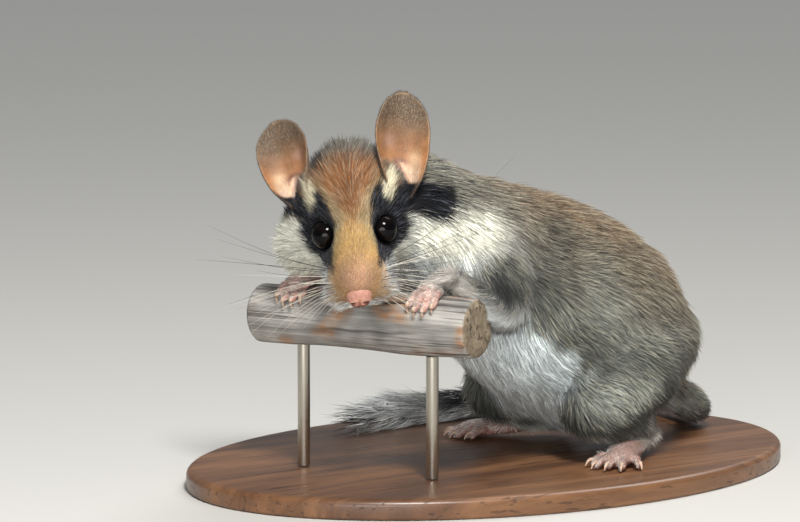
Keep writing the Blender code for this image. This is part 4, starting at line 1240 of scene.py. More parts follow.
def weathered_wood_finish(stand):
    """Old dry wood: grey fibres along the branch, fine splits painted dark, partly as shade, and stains
    painted on the mesh.
    """
    wood = Finish("weathered_wood", Roughness=0.85, Specular_IOR_Level=0.2)
    along = perch_axes()[0]
    turn = (0.0, 0.0, -math.atan2(along[1], along[0]))
    fibre = wood.noise(420.0, wood.place((0.05, 1, 1), turn), detail=6.0, roughness=0.7, distortion=0.3)
    split = wood.between(wood.noise(420.0, wood.place((0.04, 1, 1), turn), detail=3.0), 0.57, 0.63)
    colour = wood.mix(1.0, wood.attribute("tint"), wood.between(fibre, 0.3, 0.72, 0.5, 1.3), "MULTIPLY")
    # the fine splits are painted in the crack colour: partly the wood's own colour, partly painted shade
    wood.set(Base_Color=wood.mix(split * 0.7, colour, tuple(stand.crack)))
    wood.set(Roughness=wood.between(fibre, 0.2, 0.8, 0.95, 0.7))
    return wood.bump(fibre - split * 0.8, 0.45).material


def stand_wood_finish(stand):
    """Oiled dark wood with long grain and a soft lustre."""
    wood = Finish("stand_wood", Roughness=0.4, Specular_IOR_Level=0.45, Coat_Weight=0.25, Coat_Roughness=0.25)
    grain = wood.noise(60.0, wood.place((0.12, 1, 1)), detail=6.0, roughness=0.62, distortion=1.1)
    pores = wood.between(wood.noise(900.0, wood.place((0.05, 1, 1)), detail=2.0), 0.6, 0.68)
    colour = wood.mix(wood.between(grain, 0.35, 0.68), tuple(stand.base_dark), tuple(stand.base_light))
    wood.set(Base_Color=wood.mix(pores * 0.6, colour, tuple(c * 0.35 for c in stand.base_dark)))
    wood.set(Roughness=wood.between(grain, 0.3, 0.7, 0.34, 0.5) + pores * 0.2)
    return wood.bump(grain * 0.3 - pores, 0.05).material


def rod_finish(stand):
    """Bright metal, brushed along the rods."""
    metal = Finish("rod_metal", tuple(stand.rod), Metallic=1.0)
    brushed = metal.noise(1400.0, metal.place((1, 1, 0.04)), detail=3.0)
    return metal.set(Roughness=metal.between(brushed, 0.3, 0.7, 0.26, 0.42)).bump(brushed, 0.01).material


# Pieces
SKIN_VOXEL = 0.76
PAW_VOXEL = 0.34
# how far easing moves a point toward its neighbours, and the paws' height over the base
EASING = 0.5
PAW_FLOOR = 0.35
EAR_GRID = (64, 50)
# height of the lid's ring over the eye's centre, its radius and half its thickness
LID_RISE, LID_R, LID_THICK = 1.1, 3.62, 0.3
# radius of the bowl below the lid and of the whole socket
BOWL_R, SOCKET_R = 3.4, 7.0
# kinds of skin, stored at each of its points
BODY, FOREPAW, HINDFOOT, EAR_BACK, EAR_CUP, LID = range(6)
MOST_TRIANGLES = 190000
# how much an ear claims its own points, beside shares of one for the other parts
EAR_CLAIM = 50.0
# length of the hair and a tuft's width there as a share of tuft_width
TUFT_WIDTHS = ((0.7, 0.42), (1.3, 0.62), (2.5, 0.85), (5.0, 0.95), (8.0, 1.05))
# depth of the tufts' roots in the skin, and the lift of their outer half as a share of the inner half's
ROOT_DEPTH, TIP_LIFT = 0.15, 0.3
# the draws below and above which a ticked tuft's tip is black or pale, and the share of pale tips on black
BLACK_TIPS, PALE_TIPS, PALE_IN_BLACK = 0.27, 0.72, 0.13


def ready(name):
    """A piece that another one needs."""
    piece = bpy.data.objects.get(name)
    if piece is None:
        raise RuntimeError("the piece " + name + " has to be built first")
    return piece


def settle(piece, slot, *nodes):
    """Puts a finished piece on the model's body and hides the nodes that it stands for; slot, the name of its
    finish, is not used.
    """
    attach(piece, "root")
    if nodes:
        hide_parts(*nodes)
    return piece


def body_claims(points, region):
    """The parts' claims, where ears claim only themselves."""
    claim, place, ways = claims(points)
    on_ear = (region == EAR_BACK) | (region == EAR_CUP)
    on_left = in_head(points)[:, 1] > 0
    for side in SIDES:
        mine = on_ear & (on_left == (side == "left"))
        claim[PARTS.index("ear_" + side)] = np.where(mine, EAR_CLAIM, 0.0)
    return claim / claim.sum(axis=0), place, ways


def cup_tint(share, across, colours):
    """The inside of an ear by the share of its length and the place across it: grey-brown toward the tip,
    orange at the edges, pink above the canal with a painted shadow in the recess there, lavender in the
    canal, a painted lavender shine halfway up one side and painted light on the wall beside the recess."""
    skin = colours.ear_skin
    colour = ramp(share, (
        (0.0, skin * (0.75, 1.0, 1.6)), (0.14, skin * (1.05, 1.65, 2.8)), (0.26, skin * (1.2, 1.75, 2.6)),
        (0.38, skin * (0.72, 0.72, 0.7)), (0.5, skin * (0.5, 0.5, 0.48)), (0.66, skin * (0.33, 0.38, 0.42)),
        (0.8, skin * (0.19, 0.24, 0.28)), (1.0, skin * (0.17, 0.22, 0.26))))
    # a painted lavender shine halfway up one side of the cup
    painted_sheen = hump(share, 0.53, 0.07) * hump(across, -0.42, 0.22)
    colour = tinted(colour, skin * (0.66, 0.86, 1.5), 0.6 * painted_sheen)
    edge = step_between(0.6, 0.95, np.abs(across))
    colour = tinted(colour, skin * (0.85, 0.66, 0.34), 0.8 * edge * step_between(0.62, 0.3, share))
    # painted light on the cup's wall beside the recess above the canal
    painted_light = hump(share, 0.36, 0.08) * hump(across, 0.52, 0.22)
    colour = tinted(colour, skin * (1.3, 1.95, 2.7), 0.8 * painted_light)
    canal = hump(share, 0.2, 0.1) * hump(across, -0.08, 0.26)
    colour = tinted(colour, skin * (0.55, 0.62, 1.4), 0.95 * np.minimum(1.2 * canal, 1))
    # painted shadow in the recess above the canal
    hollow_shade = hump(share, 0.335, 0.04) * hump(across, 0.02, 0.27)
    colour = tinted(colour, skin * (0.16, 0.06, 0.08), 0.95 * hollow_shade)
    ridge = hump(from_ridge(share, across), 0, 0.12) * step_between(0.36, 0.31, share)
    colour = tinted(colour, skin * (1.4, 1.9, 2.8), 0.85 * ridge)
    rim = step_between(0.93, 0.99, np.abs(across)) + step_between(0.97, 0.99, share)
    colour = tinted(colour, skin * (0.8, 1.1, 1.4), 0.5 * np.minimum(rim, 1))
    return tinted(colour, colours.mask, step_between(0.15, 0.11, share - 0.03 * across))


def skin_tint(points, region, part, ear, colours):
    """The painted skin: the coat's colours, pink paws with the hind feet painted darker as the shade below
    the body, brown ears with a pink canal, black lids and the mouth line."""
    colour = coat_base(points, part, colours) * 0.8
    mouth = mouth_claim(in_head(points)) * part["head"]
    colour = tinted(colour, colours.nose * (0.12, 0.06, 0.06), mouth)
    shade = (1 + 0.07 * ripple(points, 5.0, 31))[:, None]
    skin = colours.ear_skin
    back = ramp(ear[:, 0], (
        (0.1, skin * (0.2, 0.24, 0.3)), (0.5, skin * (0.3, 0.34, 0.4)), (1.0, skin * (0.2, 0.25, 0.3))))
    colour = np.where((region == EAR_BACK)[:, None], back * shade, colour)
    colour = np.where((region == EAR_CUP)[:, None], cup_tint(ear[:, 0], ear[:, 1], colours) * shade, colour)
    pink = colours.paw_skin
    paw = pink * (1 + 0.08 * ripple(points, 2.6, 32))[:, None]
    paw = tinted(paw, pink * (0.86, 0.6, 0.58), step_between(0.4, 1.3, ripple(points, 1.6, 33)) * 0.5)
    # the hind feet are painted darker than the forepaws: painted shade below the body
    paw = paw * np.where(region == HINDFOOT, 0.62, 1.0)[:, None]
    paw = tinted(paw, colour, near_wrist(points))
    colour = np.where(((region == FOREPAW) | (region == HINDFOOT))[:, None], paw, colour)
    return np.where((region == LID)[:, None], colours.mask * 0.35, colour)


def socketed(points):
    """Points of the head pressed in round the eyes, to just below a bowl that opens from each lid's ring."""
    for side in SIDES:
        centre, facing = head_point(on_side(EYE_AT, side)), HEAD_AXES @ unit(on_side(EYE_FACING, side))
        rise = (points - centre) @ facing
        away = np.linalg.norm(points - centre - rise[:, None] * facing, axis=1)
        bowl = LID_RISE - 0.15 + 0.4 * np.maximum(away - BOWL_R, 0) ** 2
        near = (rise > -1.0) & (away < SOCKET_R)
        points = points - facing * (np.maximum(rise - bowl, 0) * near)[:, None]
    return points


def body_skin():
    """The trunk, neck, head, limbs and tail run together, eased most where two parts meet and pressed in
    round the eyes."""
    points, quads = run_together(body_shells(), SKIN_VOXEL)
    claim = claims(points)[0]
    meeting = step_between(0.04, 0.4, np.sort(claim, axis=0)[-2])
    off_head = (1 - claim[PARTS.index("head")]) ** 2
    for rounds, weight in ((3, 1.0), (8, meeting), (73, meeting * off_head)):
        points = eased_surface(points, quads, rounds, EASING * weight)
    return socketed(points), [quads]


def paw_skin(shells):
    """A paw or foot, run together more finely than the body, which keeps off the base."""
    points, quads = run_together(shells, PAW_VOXEL)
    points = eased_surface(points, quads, 2, EASING)
    points[:, 2] = np.maximum(points[:, 2], PAW_FLOOR)
    return points, [quads]


def skin_blocks():
    """The parts of the skin: each one's points and faces, their kind of skin and their places on an ear's
    sheet."""
    nowhere = (0.0, 0.0)
    blocks = [(body_skin(), BODY, nowhere)]
    for shells, region in ((forepaw_shells, FOREPAW), (hindfoot_shells, HINDFOOT)):
        blocks += [(paw_skin(shells(side)), region, nowhere) for side in SIDES]
    for side in SIDES:
        outer, inner, share, across = ear_grids(side, *EAR_GRID)
        spots = np.stack(np.meshgrid(share, across, indexing="ij"), axis=-1).reshape(-1, 2)
        faces = np.repeat((EAR_BACK, EAR_CUP), len(spots))
        blocks.append((outward(*sheet_faces(outer, inner)), faces, np.vstack([spots, spots])))
        facing = unit(on_side(EYE_FACING, side))
        lid = ring_grid(on_side(EYE_AT, side) + facing * LID_RISE, facing, LID_R, LID_THICK)
        blocks.append((outward(*ring_faces(head_point(lid))), LID, nowhere))
    return blocks


def make_skin(colours):
    """One skin for all of the flesh: the body, the paws and feet, the ears' thin folded sheets and the lids'
    rings."""
    blocks = skin_blocks()
    points, faces = joined([block for block, _, _ in blocks])
    region = np.concatenate([np.broadcast_to(kind, len(block[0])) for block, kind, _ in blocks])
    ear = np.concatenate([np.broadcast_to(spots, (len(block[0]), 2)) for block, _, spots in blocks])
    skin = new_piece("skin", points, faces, under_coat_finish())
    skin.data.materials.append(bare_skin_finish())
    corners = np.concatenate([block[:, 0] for block in faces])
    bare = (region[corners] != BODY) & (region[corners] != LID)
    skin.data.polygons.foreach_set("material_index", bare.astype(np.int32))
    layer = skin.data.attributes.new("region", "INT", "POINT")
    layer.data.foreach_set("value", region.astype(np.int32))
    claim, _, _ = body_claims(points, region)
    paint(skin, "tint", skin_tint(points, region, dict(zip(PARTS, claim)), ear, colours))
    settle(skin, "fur_back", *FLESH_NODES)
    return skin


def coat_density(points, normals, quads, region, part, along_ear, size, count):
    """How many tufts grow on each square millimetre at each point: as many as cover it with tufts of that
    size, none on lids, nose and under the paws, few inside the ears, and count of them in all."""
    local = in_head(points)
    where = both_sides(local)
    eye, pad = np.linalg.norm(where - EYE_AT, axis=1), stroke(where, PAD_FUR, 1.2) * part["head"]
    density = step_between(3.85, 4.2, eye) * (1 - nose_claim(local)) / size
    share = np.array([1.0, 0.3, 0.3, 0.35, 0.0, 0.0])[region]
    share = np.where(region == EAR_CUP, 0.05 + 0.3 * step_between(0.55, 0.8, along_ear), share)
    paw = (region == FOREPAW) | (region == HINDFOOT)
    upper = share * step_between(-0.1, 0.3, normals[:, 2])
    share = np.where(paw, np.maximum(upper, near_wrist(points)), share)
    density *= share * (1 + pad) * (1 - 0.9 * mouth_claim(local))
    density *= 1 + 0.9 * part["head"] + 0.5 * sum(part["foreleg_" + side] for side in SIDES)
    a, b, c, d = (points[quads[:, k]] for k in range(4))
    area = 0.5 * np.linalg.norm(np.cross(c - a, d - b), axis=1)
    return density * count / (area * density[quads].mean(axis=1)).sum()


def coat_tints(root, part, colours, chance):
    """Root, middle and tip colours of the tufts: dark at the root; of those of a middling colour some have
    black tips and some pale ones, and a few of the black ones have pale tips."""
    count = len(root)
    base = coat_base(root + 0.35 * chance.normal(size=(count, 3)), part, colours)
    light = base @ (0.21, 0.72, 0.07)
    ticked = step_between(0.55, 0.32, light) * step_between(0.01, 0.15, light) * (1 - 0.6 * part["head"])
    draw = chance.random(count)
    white = step_between(0.45, 0.75, light)
    change = (0.26 + 0.12 * white) * chance.normal(size=count) + 0.1 * ripple(root, 5.0, 46)
    body = base * np.exp(change - 0.03 - 0.07 * white)[:, None]
    tip = tinted(body * 1.15, colours.mask * 2.2, ticked * (draw < BLACK_TIPS) * 0.9)
    tick = colours.cream * (0.95, 0.9, 0.8) * np.clip(light / 0.15, 0.2, 1.0)[:, None]
    tip = tinted(tip, tick, ticked * (draw > PALE_TIPS) * 0.7)
    under = step_between(0.75, 0.4, light) * step_between(0.01, 0.04, light)
    dark = tinted(base * (0.5 - 0.1 * white)[:, None], colours.mask * 4.5, 0.5 * under)
    pale = chance.random(count) < PALE_IN_BLACK
    tip = np.where((pale & (light < 0.012))[:, None], colours.mask * 20, tip)
    return dark, body, tip


def lifted(way, normal, angle):
    """Directions along a surface, turned up from it by angles."""
    return way * np.cos(angle)[:, None] + normal * np.sin(angle)[:, None]


def coat_roots(coat):
    """The tufts' roots on the skin, and at each one the skin's normal, the hair's way, length, lift and
    width, and the claims and places of the parts."""
    skin = ready("skin")
    points, normals, corners = mesh_arrays(skin.data)
    quads = corners.reshape(-1, 4)
    region = np.empty(len(points), np.int32)
    skin.data.attributes["region"].data.foreach_get("value", region)
    way, length, lift, part, claim, place = coat_fields(points, region, coat)
    width = coat.tuft_width / MM * column(TUFT_WIDTHS, length) * (1 + 0.3 * part["head"])
    along_ear = np.where(points @ HEAD_AXES[:, 1] > HEAD_AT @ HEAD_AXES[:, 1], *(
        place[PARTS.index("ear_" + side)] for side in SIDES))
    density = coat_density(points, normals, quads, region, part, along_ear, length * width, coat.tufts)
    rooted, shares = scattered(points, quads, density, 41)
    fields = [at_roots(values, rooted, shares) for values in (points, normals, way, length, lift, width)]
    return fields + [at_roots(values.T, rooted, shares).T for values in (claim, place)]


def coat_tufts(coat, colours):
    """The corners, colours and place on the unwrap of all tufts, and the part that each one grows on. Tufts
    lie along the hair's way, turned and lifted a little at random, and their tips gather in locks."""
    root, normal, way, length, lift, width, claim, place = coat_roots(coat)
    part = dict(zip(PARTS, claim))
    normal = unit(normal)
    count = len(root)
    chance = np.random.default_rng(42)
    way = unit(way - normal * (way * normal).sum(axis=1, keepdims=True))
    side = np.cross(normal, way)
    turn = np.radians(6 * chance.normal(size=count) + 7 * ripple(root, 15.0, 43))[:, None]
    way, side = way * np.cos(turn) + side * np.sin(turn), side * np.cos(turn) - way * np.sin(turn)
    size = (length * chance.uniform(0.7, 1.22, count))[:, None]
    lift = np.radians(lift * (1 + 0.22 * chance.normal(size=count) + 0.22 * ripple(root, 5.0, 44)))
    gather = side * (ripple_slope(root, 3.6, 45) * side).sum(axis=1, keepdims=True)
    gather = gather * (1 - 0.5 * part["head"])[:, None]
    mid = root + lifted(way, normal, lift) * size * 0.45 + gather * size * 0.03
    tip = mid + lifted(way, normal, lift * TIP_LIFT) * size * 0.55 + gather * size * 0.08
    root = root - normal * ROOT_DEPTH
    mid[:, 2], tip[:, 2] = np.maximum(mid[:, 2], 0.3), np.maximum(tip[:, 2], 0.15)
    dark, body, light = coat_tints(root, part, colours, chance)
    facing = normal + 0.25 * chance.normal(size=(count, 3))
    return {
        "root": root, "mid": mid, "tip": tip, "side": side, "out": normal, "facing": facing,
        "width": width, "dark": dark, "body": body, "light": light, "place": unwrap(root, claim, place),
    }, claim.argmax(axis=0)


def make_coat(coat, colours):
    """The coat's tufts over the skin, in joined pieces by part of the body."""
    tufts, index = coat_tufts(coat, colours)
    root = tufts["root"]
    finish = painted_finish("coat")
    for name, (slot, bent, members) in COAT_PIECES.items():
        mine = np.flatnonzero(np.isin(index, [PARTS.index(member) for member in members]))
        mine = mine[np.argsort(root[mine, 0])]
        if not len(mine):
            raise RuntimeError("no tufts grow on " + name)
        most = MOST_TRIANGLES // (6 if bent else 4)
        for k, some in enumerate(np.array_split(mine, math.ceil(len(mine) / most))):
            own = {key: value[some] for key, value in tufts.items()}
            settle(tuft_mesh("coat_%s_%d" % (name, k + 1), own, bent, finish), slot)


def make_eyes():
    """Round black eyes: a ball whose clear front bulges a little, with a dark brown ring about the pupil."""
    parts, tints = [], []
    for side in SIDES:
        facing = unit(on_side(EYE_FACING, side))
        one = unit(np.cross(facing, (0.0, 0.0, 1.0)))
        two = np.cross(facing, one)
        down = np.linspace(0, math.pi, 49)
        turn = full_turn(64)
        size = EYE_R + 0.22 * hump(down, 0, 0.62)
        ring = np.cos(turn)[:, None] * one + np.sin(turn)[:, None] * two
        grid = np.cos(down)[:, None, None] * facing + np.sin(down)[:, None, None] * ring[None]
        grid = size[:, None, None] * grid
        points, faces = outward(*closed_faces(head_point(grid + on_side(EYE_AT, side))))
        parts.append((points, faces))
        angle = np.concatenate([down[:1], np.repeat(down[1:-1], len(turn)), down[-1:]])
        brown = hump(angle, 0.75, 0.22)
        tints.append(tinted(np.broadcast_to(linear(4, 4, 5), points.shape), linear(20, 12, 9), 0.6 * brown))
    eyes = new_piece("eyes", *joined(parts), painted_finish("eye"))
    paint(eyes, "tint", np.concatenate(tints))
    return settle(eyes, "eye", "eye_left", "eye_right")


NOSE_AT = np.array([18.9, 0.0, -5.4])
NOSE_HALF = np.array([2.7, 3.0, 2.7])
GROOVE_DEPTH = 0.3


def nose_claim(local):
    """How much the bare nose pad covers a place on the muzzle."""
    off = (local - NOSE_AT) / (NOSE_HALF * 1.04)
    return step_between(1.12, 0.92, np.linalg.norm(off, axis=1)) * step_between(16.4, 17.4, local[:, 0])


def mouth_claim(local):
    """How much the closed mouth's line covers a place: a nearly level curve round the muzzle below the
    nose."""
    forward = local[:, 0] - 8.0
    turn = np.degrees(np.arctan2(np.abs(local[:, 1]), forward))
    line = -8.6 - 0.075 * np.hypot(forward, local[:, 1])
    return hump(local[:, 2], line, 0.5) * step_between(76, 60, turn)


def grid_values(values):
    """A grid's values in the order of closed_faces' points."""
    return np.concatenate([values[:1, 0], values[1:-1].ravel(), values[-1:, 0]])


def make_nose(colours):
    """The bare pink nose: a rounded block, dented by a nostril on each side and parted by a groove down the
    middle."""
    down = np.linspace(0, math.pi, 90)[:, None]
    turn = full_turn(110)[None, :]
    reach, blunt = np.sin(down) ** 0.82, np.sign(np.cos(down)) * np.abs(np.cos(down)) ** 0.82
    grid = np.stack([blunt + 0 * turn, reach * np.cos(turn), reach * np.sin(turn)], axis=-1)
    normal = unit(grid / NOSE_HALF)
    grid = grid * NOSE_HALF
    side = np.abs(grid[..., 1])
    groove = GROOVE_DEPTH * hump(side, 0, 0.24) * step_between(0.6, -0.8, grid[..., 2]) * (grid[..., 0] > 0)
    spot = np.stack([grid[..., 0] - 1.8, side - 1.8, grid[..., 2] + 1.05], axis=-1)
    leaning = spot[..., 2] + 0.5 * spot[..., 1]
    hole = np.sqrt((spot[..., 0] / 1.4) ** 2 + (spot[..., 1] / 1.05) ** 2 + (leaning / 0.55) ** 2)
    wing = 0.14 * hump(hole, 1.35, 0.5)
    dent = hump(hole, 0, 0.85)
    grain = 0.03 * ripple(grid.reshape(-1, 3), 0.7, 51).reshape(grid.shape[:2])
    low = grid_values(grid[..., 2])
    grid = grid + normal * (wing + grain - groove - dent)[..., None]
    points, faces = outward(*closed_faces(head_point(grid + NOSE_AT)))
    nose = new_piece("nose", points, faces, bare_skin_finish())
    pink = colours.nose
    colour = pink * (1 + 0.07 * ripple(points, 1.6, 52))[:, None]
    colour = tinted(colour, pink * (1.1, 1.35, 1.4), 0.4 * step_between(0.2, 1.2, ripple(points, 0.7, 53)))
    # the underside of the pad is darker red: partly its own colour, partly painted shade
    colour = tinted(colour, pink * (0.34, 0.14, 0.13), 0.9 * step_between(-0.9, -1.7, low))
    colour = tinted(colour, pink * (0.6, 0.4, 0.4), grid_values(groove) / GROOVE_DEPTH * 0.6)
    # the nostrils are painted near black: painted shade inside their openings
    colour = tinted(colour, pink * (0.07, 0.03, 0.04), step_between(1.0, 0.5, grid_values(hole)))
    paint(nose, "tint", colour)
    return settle(nose, "paw_skin")


# degrees past a fingertip and height over the bark, and distance past a toe's tip and height over it
FINGER_CLAW = ((-3, 1.55), (3, 1.95), (9, 1.5), (14, 0.6))
TOE_CLAW = ((-0.2, 0.45), (0.9, 0.75), (1.9, 0.3), (2.6, -0.6))


def make_claws():
    """Small curved claws at the tips of the fingers and toes, thick at the root and sharp at the end."""
    parts = []
    for side in SIDES:
        run = PAW_RUNS[side]
        for across, reach in zip(FINGERS_ACROSS, FINGER_REACH):
            line = [on_perch(run + across, reach + past, height) for past, height in FINGER_CLAW]
            parts.append(closed_faces(tube_grid(line, (0.5, 0.46, 0.32, 0.1), 14, 12)))
        for k in range(len(TOE_TIPS)):
            root, _, tip = toe_line(k, side)
            way = unit((tip - root) * (1, 1, 0))
            line = [tip + way * past + (0, 0, height) for past, height in TOE_CLAW]
            parts.append(closed_faces(tube_grid(line, (0.52, 0.48, 0.32, 0.1), 14, 12)))
    claws = new_piece("claws", *joined([outward(*part) for part in parts]), claw_finish())
    return settle(claws, "paw_skin")


WHISKER_ROWS, WHISKERS_IN_ROW = 5, 6


def make_whiskers():
    """Long tapered whiskers in rows on both sides of the muzzle, the upper ones black and the lower ones
    pale; two more stand over each eye."""
    chance = np.random.default_rng(61)
    parts, tints = [], []
    for sign in (1, -1):
        hairs = []
        for row in range(WHISKER_ROWS):
            for k in range(WHISKERS_IN_ROW):
                root = np.array([8.4 + 1.5 * k, 6.7 - 0.5 * k, -3.9 - 1.1 * row])
                root = root + 0.25 * chance.normal(size=3)
                reach = (37 - 5.2 * k - 2.0 * abs(row - 1)) * chance.uniform(0.72, 1.1)
                aim = np.array([-0.36 + 0.13 * k, 1.0, 0.12 - 0.18 * row])
                aim = unit(aim + 0.06 * chance.normal(size=3))
                sag = np.array([-0.14, 0.0, -0.08 * row]) + 0.05 * chance.normal(size=3)
                hairs.append((root, aim, reach, sag * reach, 0.07, row > 2 or chance.random() < 0.35))
        for lean in (-0.2, 0.15):
            root, aim = np.array([2.0 + 4 * lean, 6.2, 4.6]), unit([-0.75 + lean, 0.8, 0.7])
            hairs.append((root, aim, 10.0, np.array([-4.0, 0.0, -2.0]), 0.04, False))
        for root, aim, reach, sag, thick, pale in hairs:
            line = np.array([root + aim * reach * t + sag * t * t for t in (0, 0.3, 0.6, 1.0)]) * (1, sign, 1)
            grid = tube_grid(head_point(line), (thick, thick * 0.8, thick * 0.5, thick * 0.16), 12, 5)
            parts.append(outward(*closed_faces(grid)))
            tint = linear(220, 214, 200) if pale else linear(26, 22, 20)
            tints.append(np.broadcast_to(tint, parts[-1][0].shape))
    whiskers = new_piece("whiskers", *joined(parts), painted_finish("whisker"))
    paint(whiskers, "tint", np.concatenate(tints))
    return settle(whiskers, "fur_head")


# the branch's rings between its ends, the angle over which a crack opens and the base's rounded edges
PERCH_RINGS = 150
CRACK_WIDTH = 0.055
LOW_EDGE, HIGH_EDGE = 0.8, 1.6


def perch_cracks(share, angle):
    """The depth of the drying cracks at places along the branch and round it."""
    crack = np.zeros_like(share)
    for where, depth, start, end in PERCH_CRACKS:
        line = where + 0.25 * share + 0.02 * np.sin(37 * share + where)
        near = np.abs((angle - line + math.pi) % (2 * math.pi) - math.pi)
        inside = np.clip((share - start) / (end - start), 0, 1)
        crack = np.maximum(crack, depth * hump(near, 0, CRACK_WIDTH) * np.sin(math.pi * inside))
    return crack


def make_perch(stand):
    """The cut branch: an uneven round section carried along a straight line, split by drying cracks that are
    drawn in and out along it, with sawn ends that show rings."""
    along, ahead, up = perch_axes()
    length = float(np.linalg.norm(PERCH_ENDS[1] - PERCH_ENDS[0]))
    edge = np.array([0.0, 0.25, 0.5, 0.75, 0.94])
    middle = np.linspace(0.5, length - 0.5, PERCH_RINGS)
    runs = np.concatenate([0 * edge, middle, np.full(len(edge), length)])
    size = np.concatenate([edge, np.ones(PERCH_RINGS), edge[::-1]])
    share, angle = np.meshgrid(runs / length, full_turn(180), indexing="ij")
    body = PERCH_R * (1 + 0.035 * np.sin(5.1 * share + 0.6) - 0.02 * np.cos(11 * share))
    uneven = 1 + 0.03 * np.sin(2 * angle + 2 * share) + 0.018 * np.sin(3 * angle + 1.3 + 3 * share)
    crack = perch_cracks(share, angle)
    fibre = 0.006 * np.sin(23 * angle + 2 * np.sin(9 * share)) + 0.005 * np.sin(47 * angle + 5 * share + 1.0)
    radius = body * (uneven + fibre - crack) * size[:, None]
    grid = (
        PERCH_ENDS[0] + runs[:, None, None] * along
        + radius[..., None] * (np.sin(angle)[..., None] * ahead + np.cos(angle)[..., None] * up))
    points, faces = outward(*closed_faces(grid))
    perch = new_piece("branch", points, faces, weathered_wood_finish(stand))
    deep = grid_values(np.clip(crack / 0.07, 0, 1))
    bark = np.array(stand.bark)
    colour = bark * (1 + 0.1 * ripple(points, 7.0, 71))[:, None]
    stain = step_between(0.2, 1.4, ripple(points, 14.0, 72)) * (0.75 + 0.25 * ripple(points, 3.0, 74))
    colour = tinted(colour, stand.stain, 0.75 * np.clip(stain, 0, 1))
    run = (points - PERCH_ENDS[0]) @ along
    off = points - PERCH_ENDS[0] - run[:, None] * along
    face = ((run < 0.2) | (run > length - 0.2)) * 1.0
    rings = 0.5 + 0.5 * np.sin(np.linalg.norm(off, axis=1) * 9.0 + 0.8 * ripple(off, 8.0, 73))
    sawn = tinted(np.broadcast_to(linear(156, 142, 120), points.shape), linear(112, 98, 82), rings * 0.6)
    colour = colour + (sawn - colour) * face[:, None]
    # darker inside the cracks, by their depth: partly the wood's own colour, partly painted shade
    paint(perch, "tint", tinted(colour, stand.crack, 0.85 * deep))
    return settle(perch, "weathered_wood", "perch")


def make_stand(stand):
    """The plain oval base, a plate with a softly rounded edge, and the two round rods under the branch."""
    centre = (BASE_LOW + BASE_HIGH)[:2] / 2 / MM - ANIMAL_AT[:2]
    semi = (BASE_HIGH - BASE_LOW)[:2] / 2 / MM
    turn = full_turn(200)
    low, high = -BASE_THICK, 0.0
    bend = np.linspace(0, math.pi / 2, 9)
    profile = [(semi[1], low), (semi[1] * 0.5, low), (LOW_EDGE, low)]
    profile += [(LOW_EDGE - LOW_EDGE * math.sin(b), low + LOW_EDGE - LOW_EDGE * math.cos(b)) for b in bend]
    profile += [
        (HIGH_EDGE - HIGH_EDGE * math.cos(b), high - HIGH_EDGE + HIGH_EDGE * math.sin(b)) for b in bend]
    profile += [(semi[1] * 0.5, high), (semi[1], high)]
    rows = [
        np.column_stack([
            centre[0] + np.cos(turn) * semi[0] * (1 - inset / semi[1]),
            centre[1] + np.sin(turn) * semi[1] * (1 - inset / semi[1]), np.full(len(turn), z)])
        for inset, z in profile]
    base = new_piece("base", *outward(*closed_faces(np.array(rows))), stand_wood_finish(stand))
    settle(base, "stand_wood", "stand_base")
    rods = []
    for node in ("stand_rod_1", "stand_rod_2"):
        foot, head = (np.array(corner) / MM - ANIMAL_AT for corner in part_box(node))
        middle = (foot + head)[:2] / 2
        angle = full_turn(40)
        circle = np.stack([np.cos(angle), np.sin(angle)], axis=1)
        profile = (
            (0.0, foot[2]), (ROD_R * 0.96, foot[2]), (ROD_R, foot[2] + 0.2), (ROD_R, head[2]), (0.0, head[2]))
        rows = [np.column_stack([middle + circle * size, np.full(len(angle), z)]) for size, z in profile]
        rods.append(outward(*closed_faces(np.array(rows))))
    rods = new_piece("rods", *joined(rods), rod_finish(stand))
    rods.data.set_sharp_from_angle(angle=math.radians(40))
    return settle(rods, "stand_metal", "stand_rod_1", "stand_rod_2")


def aimed(obj, target):
    """Turns a light or camera so that it looks at a point."""
    obj.rotation_euler = (Vector(target) - obj.location).to_track_quat("-Z", "Y").to_euler()


# each lamp's place from the point looked at in metres: toward the camera, right and up
KEY_AT, KEY_SIZE, KEY_COLOUR = (0.58, 0.08, 0.7), 0.22, (1.0, 0.98, 0.94)
FILL_AT, FILL_SIZE, FILL_COLOUR = (0.95, -0.1, 0.04), 0.6, (1.0, 1.0, 1.0)
RIM_AT, RIM_ANGLE = (-0.5, 0.3, 0.75), 0.5
ROOM_COLOUR = (0.93, 0.96, 1.0, 1.0)


def add_lamp(data, place):
    """A lamp of the studio, aimed at the point that the camera looks at."""
    toward, right, up = place
    to_camera, to_right = camera_ways()
    lamp = in_scene(data.name, data)
    lamp.location = np.array(CAMERA_AT_ROW) + to_camera * toward + to_right * right + (0, 0, up)
    aimed(lamp, CAMERA_AT_ROW)


def add_round_lamp(name, place, size, power, colour):
    data = bpy.data.lights.new(name, "AREA")
    data.shape, data.size, data.energy, data.color = "DISK", size, power, colour
    add_lamp(data, place)


def make_floor(studio):
    """A large flat round floor under the model, at the base's underside."""
    turn = full_turn(96)
    ring = np.stack([np.cos(turn), np.sin(turn), 0 * turn], axis=1) * FLOOR_REACH / MM
    points = np.vstack([ring, [[0.0, 0.0, 0.0]]]) - ANIMAL_AT
    k = np.arange(len(turn))
    paper = Finish("paper", tuple(studio.floor), Roughness=0.9, Specular_IOR_Level=0.1)
    faces = [np.stack([k, (k + 1) % len(turn), 0 * k + len(turn)], axis=1)]
    new_piece("floor", points, faces, paper.material)


